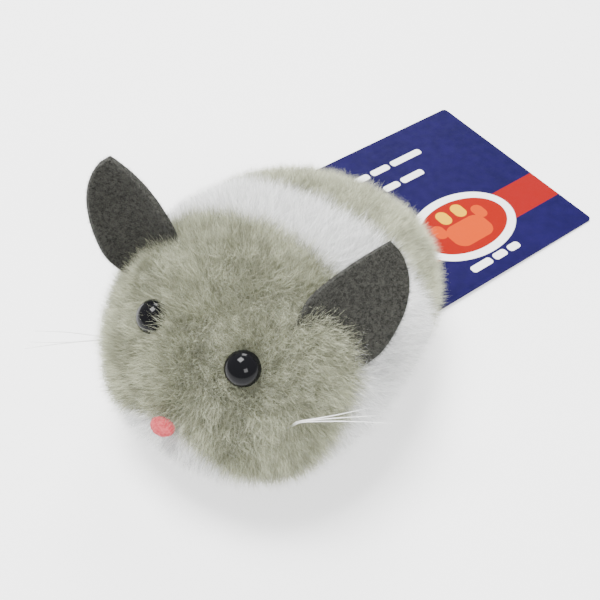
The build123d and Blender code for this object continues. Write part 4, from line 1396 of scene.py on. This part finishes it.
# ---------------------------------------------------------------- face
@dataclass
class Face:
    """Bead eyes on shanks, a flocked nose and bundles of nylon whiskers."""

    eye: Point = (10.78 * MM, -25.28 * MM, 36.17 * MM)
    eye_facing: Point = (0.352, -0.551, 0.757)
    eye_radius: float = 3.3 * MM
    sunk: dict[Side, float] = field(default_factory=lambda: {Side.LEFT: 0.0, Side.RIGHT: 1.2 * MM})
    rim: float = 0.35 * MM
    shank: float = 0.9 * MM
    shank_length: float = 6.9 * MM
    nose: Point = (0.0, -36.7 * MM, 22.5 * MM)
    nose_size: Point = (2.5 * MM, 1.9 * MM, 1.2 * MM)
    nose_taper: float = 0.22
    nose_lump: float = 0.04
    cleft_depth: float = 0.12
    cleft_width: float = 0.18
    root: Point = (19.5 * MM, -25.5 * MM, 23.81 * MM)
    eye_clips: dict[Side, Range] = field(
        default_factory=lambda: {Side.LEFT: (3.4 * MM, 4.6 * MM), Side.RIGHT: (1.2 * MM, 1.8 * MM)}
    )
    nose_clip: tuple[Point, float, float] = ((0.0, -36.6 * MM, 21.6 * MM), 1.6 * MM, 3.4 * MM)
    root_facing: Point = (0.6785, -0.631, 0.376)
    whisker: float = 0.12 * MM
    whisker_sides: int = 8
    whisker_stations: int = 14
    whisker_bows: tuple[float, ...] = (0.7 * MM, -0.5 * MM, 0.3 * MM)
    emerge_share: float = 6.0
    spare: dict[Side, float] = field(default_factory=lambda: {Side.LEFT: 1.0 * MM, Side.RIGHT: 3.0 * MM})
    emerge: dict[Side, Point] = field(
        default_factory=lambda: {
            Side.LEFT: (0.6 * MM, -1.4 * MM, 5.0 * MM),
            Side.RIGHT: (-1.5 * MM, -1.5 * MM, -0.6 * MM),
        }
    )
    knot: tuple[Range, ...] = (
        (0.0, -3.9),
        (1.2, -3.9),
        (1.6, -3.7),
        (1.6, -3.3),
        (0.7, -3.2),
        (0.7, 0.3),
        (0.45, 0.6),
        (0.0, 0.7),
    )
    runs: dict[Side, tuple[Point, ...]] = field(
        default_factory=lambda: {
            Side.LEFT: ((16.0, 8.3, 3.1), (11.7, 7.8, 4.8), (13.0, 9.5, 1.2)),
            Side.RIGHT: ((-13.4, -5.0, -2.2), (-13.4, -6.7, -3.4), (-13.9, -8.1, -4.2)),
        }
    )

    def clippings(self) -> list[Clipping]:
        """Where the pile is clipped round the eyes and the nose."""
        eyes = [Clipping(tuple(on_side(side, self.eye)), *clip) for side, clip in self.eye_clips.items()]
        return [*eyes, Clipping(*self.nose_clip)]

    def eye_profile(self) -> list[Range]:
        """The eye's half profile: polished dome, rolled rim, flat back and shank.

        Returns:
            (radius, height) pairs from the top of the dome to the foot of the shank.
        """
        radius, steps = self.eye_radius, 20
        dome = []
        for k in range(steps + 1):
            angle = math.pi / 2 * k / steps
            dome.append((radius * math.sin(angle), radius * 0.86 * math.cos(angle)))
        rim = []
        for k in range(1, 7):
            angle = math.pi * k / 6
            rim.append((radius - self.rim * (1 - math.cos(angle)) / 2, -self.rim * 2 * math.sin(angle / 2)))
        tail = [(radius * 0.6, -radius * 0.5), (self.shank, -radius * 0.55)]
        foot = [(self.shank, -self.shank_length), (self.shank * 0.7, -self.shank_length - self.rim)]
        return dome + rim + tail + foot + [(0.0, -self.shank_length - self.rim)]

    def build_eye(self, side: Side, finishes: Finishes) -> None:
        """Makes one eye in place of its CAD bead, as deep in the pile as its side has it.

        Args:
            side: which side it is on.
            finishes: the mouse's finishes.
        """
        centre, facing = on_side(side, self.eye), on_side(side, self.eye_facing)
        centre -= facing.normalized() * self.sunk[side]
        eye = lathe(f"eye_bead_{side.label}", self.eye_profile(), centre, facing, 64)
        applied(eye, finishes["bead"])
        declare(eye, "bead", f"eye_{side.label}")

    def build_nose(self, finishes: Finishes) -> None:
        """Makes the soft nose, wider at its top than at its foot.

        Args:
            finishes: the mouse's finishes.
        """
        size, rows, turns, points = self.nose_size, 26, 40, []
        for r in range(rows):
            fall = math.pi * r / (rows - 1)
            for k in range(turns):
                around = 2 * math.pi * k / turns
                x = math.sin(fall) * math.cos(around)
                y = math.sin(fall) * math.sin(around)
                z = math.cos(fall)
                narrow = 1.0 + self.nose_taper * z
                dent = self.cleft_depth * math.exp(-((x / self.cleft_width) ** 2)) * max(-z, 0.0)
                lump = 1.0 + self.nose_lump * noise.noise(Vector((x, y, z)) * 2.6)
                shape = (x * narrow * lump, (y + dent) * lump, z * lump)
                points.append([middle + half * part for middle, half, part in zip(self.nose, size, shape)])
        nose = mesh_object("nose_button", np.array(points), grid_faces(rows, turns, True))
        applied(nose, finishes["nose_pink"])
        declare(nose, "nose_pink", "nose")

    def build_whiskers(self, side: Side, finishes: Finishes) -> None:
        """Makes one bundle: a knot behind the cloth and three slightly bent, tapering hairs.

        Args:
            side: which cheek it grows on.
            finishes: the mouse's finishes.
        """
        root, facing = on_side(side, self.root), on_side(side, self.root_facing)
        points, faces, sides, stations = [], [], self.whisker_sides, self.whisker_stations
        for number, run in enumerate(self.runs[side]):
            line = Vector(run) * MM
            direction = line.normalized()
            emerge = Vector(self.emerge[side])
            length = line.length + self.spare[side]
            aside = direction.cross(Vector((0, 0, 1))).normalized()
            upward = aside.cross(direction)
            for k in range(stations):
                share = k / (stations - 1)
                bow = 4 * share * (1 - share)
                start = root + emerge * min(share * self.emerge_share, 1.0)
                middle = start + direction * (length * share) + upward * (self.whisker_bows[number] * bow)
                radius = self.whisker * (1.0 - 0.7 * share**2)
                points += ring(middle, aside, upward, radius, sides)
            first = number * stations * sides
            last = first + (stations - 1) * sides
            faces += [tuple(first + v for v in f) for f in grid_faces(stations, sides, True)]
            faces += [tuple(end + v for v in range(sides)) for end in (first, last)]
        knot = lathe("knot", [(r * MM, h * MM) for r, h in self.knot], root, facing, 20)
        first = len(points)
        points += [v.co.copy() for v in knot.data.vertices]
        faces += [tuple(first + v for v in f.vertices) for f in knot.data.polygons]
        bpy.data.objects.remove(knot)
        bundle = mesh_object(f"whisker_bundle_{side.label}", np.array(points), faces)
        applied(bundle, finishes["nylon"])
        declare(bundle, "nylon", f"whiskers_{side.label}")

    def build(self, finishes: Finishes) -> None:
        """Makes the whole face.

        Args:
            finishes: the mouse's finishes.
        """
        for side in Side:
            self.build_eye(side, finishes)
            self.build_whiskers(side, finishes)
        self.build_nose(finishes)


# ---------------------------------------------------------------- ears
@dataclass(frozen=True)
class EarPose:
    """How one felt leaf stands: its width's direction, its length's, and its two bends."""

    across: Point
    along: Point
    curl: float
    nod: float
    roll: float
    length: float


@dataclass
class Ears:
    """Two leaves cut from felt, each bent its own way, with loose surface fibres."""

    half: float = 8.5 * MM
    felt: float = 1.3 * MM
    base: Point = (19.5 * MM, -12.5 * MM, 34.5 * MM)
    root_depth: float = 5.0 * MM
    rows: int = 44
    columns: int = 27
    hairs: int = 9000
    seed: int = 70
    bevel: float = 0.28 * MM
    widest: float = 0.42
    roll_from: float = 0.6
    poses: dict[Side, EarPose] = field(
        default_factory=lambda: {
            Side.LEFT: EarPose((0.84, 0.47, -0.25), (4.6, 15.7, 18.5), 34.0 * MM, 0.06, 0.0, 22.5 * MM),
            Side.RIGHT: EarPose((0.86, 0.45, 0.2), (-7.8, 1.1, 18.6), 10.0 * MM, 0.08, 0.25, 22.5 * MM),
        }
    )

    def outline(self, share: float) -> tuple[float, float]:
        """The leaf's two half widths at a share of its length, from root to tip.

        Args:
            share: 0 at the root, 1 at the tip.

        Returns:
            The straighter edge's and the fuller edge's half width, as shares of the half.
        """
        if share < self.widest:
            swell = math.sin(math.pi / 2 * share / self.widest)
            return 0.80 + 0.06 * swell, 0.50 + 0.60 * swell
        fall = (share - self.widest) / (1 - self.widest)
        return 0.86 * (1 - fall**1.3), 1.10 * max(1 - fall**2.6, 0.0) ** 0.62

    def leaf_points(self, side: Side) -> np.ndarray:
        """The bent leaf's middle surface.

        Args:
            side: which ear.

        Returns:
            Its grid of points, row after row from root to tip.
        """
        pose = self.poses[side]
        long_axis = Vector(pose.along).normalized()
        wide = Vector(pose.across)
        wide = (wide - long_axis * wide.dot(long_axis)).normalized()
        facing = wide.cross(long_axis)
        base = on_side(side, self.base)
        points = []
        for r in range(self.rows):
            share = r / (self.rows - 1)
            straight, full = self.outline(share)
            inner, outer = (straight, full) if side is Side.LEFT else (full, straight)
            rise = -self.root_depth + share * (pose.length + self.root_depth)
            for c in range(self.columns):
                part = 2 * c / (self.columns - 1) - 1
                width = self.half * part * (outer if part > 0 else inner)
                curl = width / pose.curl
                aside = pose.curl * math.sin(curl)
                lift = pose.curl * (1 - math.cos(curl))
                back = -pose.nod * pose.length * share**2
                rolled = pose.roll * pose.length * max(share - self.roll_from, 0.0) ** 2 * 2.0
                points.append(base + long_axis * rise + wide * aside + facing * (lift + back + rolled))
        return np.array(points)

    def build(self, finishes: Finishes, pile: Pile) -> None:
        """Args:
            finishes: the mouse's finishes.
            pile: the pile's tree and blades.
        """
        for side in Side:
            faces = grid_faces(self.rows, self.columns, False)
            leaf = mesh_object(f"felt_ear_{side.label}", self.leaf_points(side), faces)
            wall = leaf.modifiers.new("felt", "SOLIDIFY")
            wall.thickness = self.felt
            wall.offset = 0.0
            edge = leaf.modifiers.new("edge", "BEVEL")
            edge.width = self.bevel
            edge.segments = 2
            edge.limit_method = "ANGLE"
            edge.angle_limit = math.radians(50)
            applied(leaf, finishes["felt"])
            leaf.data.polygons.foreach_set("use_smooth", [True] * len(leaf.data.polygons))
            self.shave_root(leaf, side)
            name, seed = f"ear_fuzz_{side.label}", self.seed + side.value
            fuzz = pile.plant(name, leaf, self.hairs, pile.fuzz, finishes["felt"], seed)
            declare(leaf, "felt", f"ear_{side.label}")
            declare(fuzz, "felt")

    def shave_root(self, leaf: Thing, side: Side) -> None:
        """Stores the fuzz's length and lie on a leaf; the buried root has none.

        Args:
            leaf: the ear to mark.
            side: which side it is on.
        """
        long_axis = Vector(self.poses[side].along).normalized()
        base = on_side(side, self.base)
        lengths = [float((vertex.co - base).dot(long_axis) > 0) for vertex in leaf.data.vertices]
        store_pile(leaf.data, lengths, [*long_axis] * len(lengths))


# ---------------------------------------------------------------- movement, chassis and tag
@dataclass
class FrameDressing:
    """Gives every CAD node that is still shown its finish, by its slot in the record."""

    def build(self, finishes: Finishes) -> None:
        """Puts each finish on its nodes.

        Args:
            finishes: the mouse's finishes.
        """
        slots = {row["node"]: row["material_slot"] for row in frame["record"]["subparts"]}
        for name, node in frame["nodes"].items():
            if node.hide_render:
                continue
            for slot in node.material_slots:
                slot.material = finishes[slots[name]]
            log.info("%s: dressed in %s", name, slots[name])


# ---------------------------------------------------------------- studio
@dataclass(frozen=True)
class Lamp:
    """A soft square lamp: its name, its place, its side in metres and its power in watts."""

    name: str
    place: Point
    side: float
    power: float


@dataclass
class Studio:
    """A pale floor, soft lights and the camera."""

    azimuth: float = math.radians(33.67)
    elevation: float = math.radians(50.45)
    distance: float = 172.8 * MM
    target: Point = (3.09 * MM, 4.23 * MM, 20.0 * MM)
    lens: float = 49.0
    floor_size: float = 6.0
    floor_gap: float = 0.2 * MM
    floor_glow: float = 0.9
    sky: float = 0.85
    aim: Point = (0.0, 0.0, 20.0 * MM)
    lamps: tuple[Lamp, ...] = (
        Lamp("key_light", (-0.2, 0.05, 0.8), 0.35, 17.0),
        Lamp("fill_light", (0.6, -0.4, 0.6), 0.3, 5.0),
        Lamp("rim_light", (-0.3, 0.6, 0.6), 0.3, 6.0),
    )

    def back(self) -> Vector:
        """The direction from the target to the camera."""
        flat, up = math.cos(self.elevation), math.sin(self.elevation)
        return Vector((math.sin(self.azimuth) * flat, -math.cos(self.azimuth) * flat, up))

    def build_camera(self) -> None:
        """Places the camera and makes it the scene's own."""
        data = bpy.data.cameras.new("camera")
        data.lens = self.lens
        data.clip_start = 0.01
        data.clip_end = 20.0
        camera = linked(bpy.data.objects.new("camera", data))
        camera.location = Vector(self.target) + self.back() * self.distance
        camera.rotation_euler = self.back().to_track_quat("Z", "Y").to_euler()
        bpy.context.scene.camera = camera

    def build_floor(self) -> None:
        """Lays the pale floor."""
        half = self.floor_size / 2
        signs = ((-1, -1), (1, -1), (1, 1), (-1, 1))
        corners = np.array([(half * x, half * y, -self.floor_gap) for x, y in signs])
        floor = mesh_object("floor", corners, [(0, 1, 2, 3)], smooth=False)
        shader = Shader("pale_floor", (0.88, 0.88, 0.88), 0.9, Emission_Strength=self.floor_glow)
        shader.surface.inputs["Emission Color"].default_value = (1.0, 1.0, 1.0, 1.0)
        applied(floor, shader.material)

    def build_light(self, lamp: Lamp) -> None:
        """Hangs one lamp that faces the mouse.

        Args:
            lamp: the lamp to hang.
        """
        data = bpy.data.lights.new(lamp.name, "AREA")
        data.size = lamp.side
        data.energy = lamp.power
        light = linked(bpy.data.objects.new(lamp.name, data))
        light.location = lamp.place
        light.rotation_euler = (Vector(lamp.place) - Vector(self.aim)).to_track_quat("Z", "Y").to_euler()

    def build(self) -> None:
        """Sets up the whole studio."""
        self.build_camera()
        self.build_floor()
        for lamp in self.lamps:
            self.build_light(lamp)
        world = bpy.data.worlds.new("studio")
        bpy.context.scene.world = world
        world.use_nodes = True
        sky = world.node_tree.nodes["Background"]
        sky.inputs["Color"].default_value = (1.0, 1.0, 1.0, 1.0)
        sky.inputs["Strength"].default_value = self.sky


def key_clipping() -> Clipping:
    """Where the pile is clipped round the winding key."""
    low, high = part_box("winding_key")
    return Clipping((high[0], (low[1] + high[1]) / 2, (low[2] + high[2]) / 2), 7.4 * MM, 9.5 * MM)


def main() -> None:
    """Builds the mouse round its frame, in order."""
    logging.basicConfig(level=logging.INFO, format="%(message)s")
    Studio().build()
    finishes = Finishes()
    face = Face()
    face.build(finishes)
    pile = Pile()
    Ears().build(finishes, pile)
    grooming = Grooming(clippings=[*face.clippings(), key_clipping()])
    for seed, panel in enumerate(PlushBody().build(finishes)):
        grooming.brush(panel.skin)
        slot = f"{panel.slot}_pile"
        for coat, cut in pile.coats.items():
            seed += 10
            name = f"{panel.name}_{coat}_coat"
            declare(pile.plant(name, panel.skin, panel.hairs, cut, finishes[slot], seed), slot)
        bpy.data.objects.remove(panel.skin)
    pile.clear()
    FrameDressing().build(finishes)


if __name__ == "__main__":
    main()
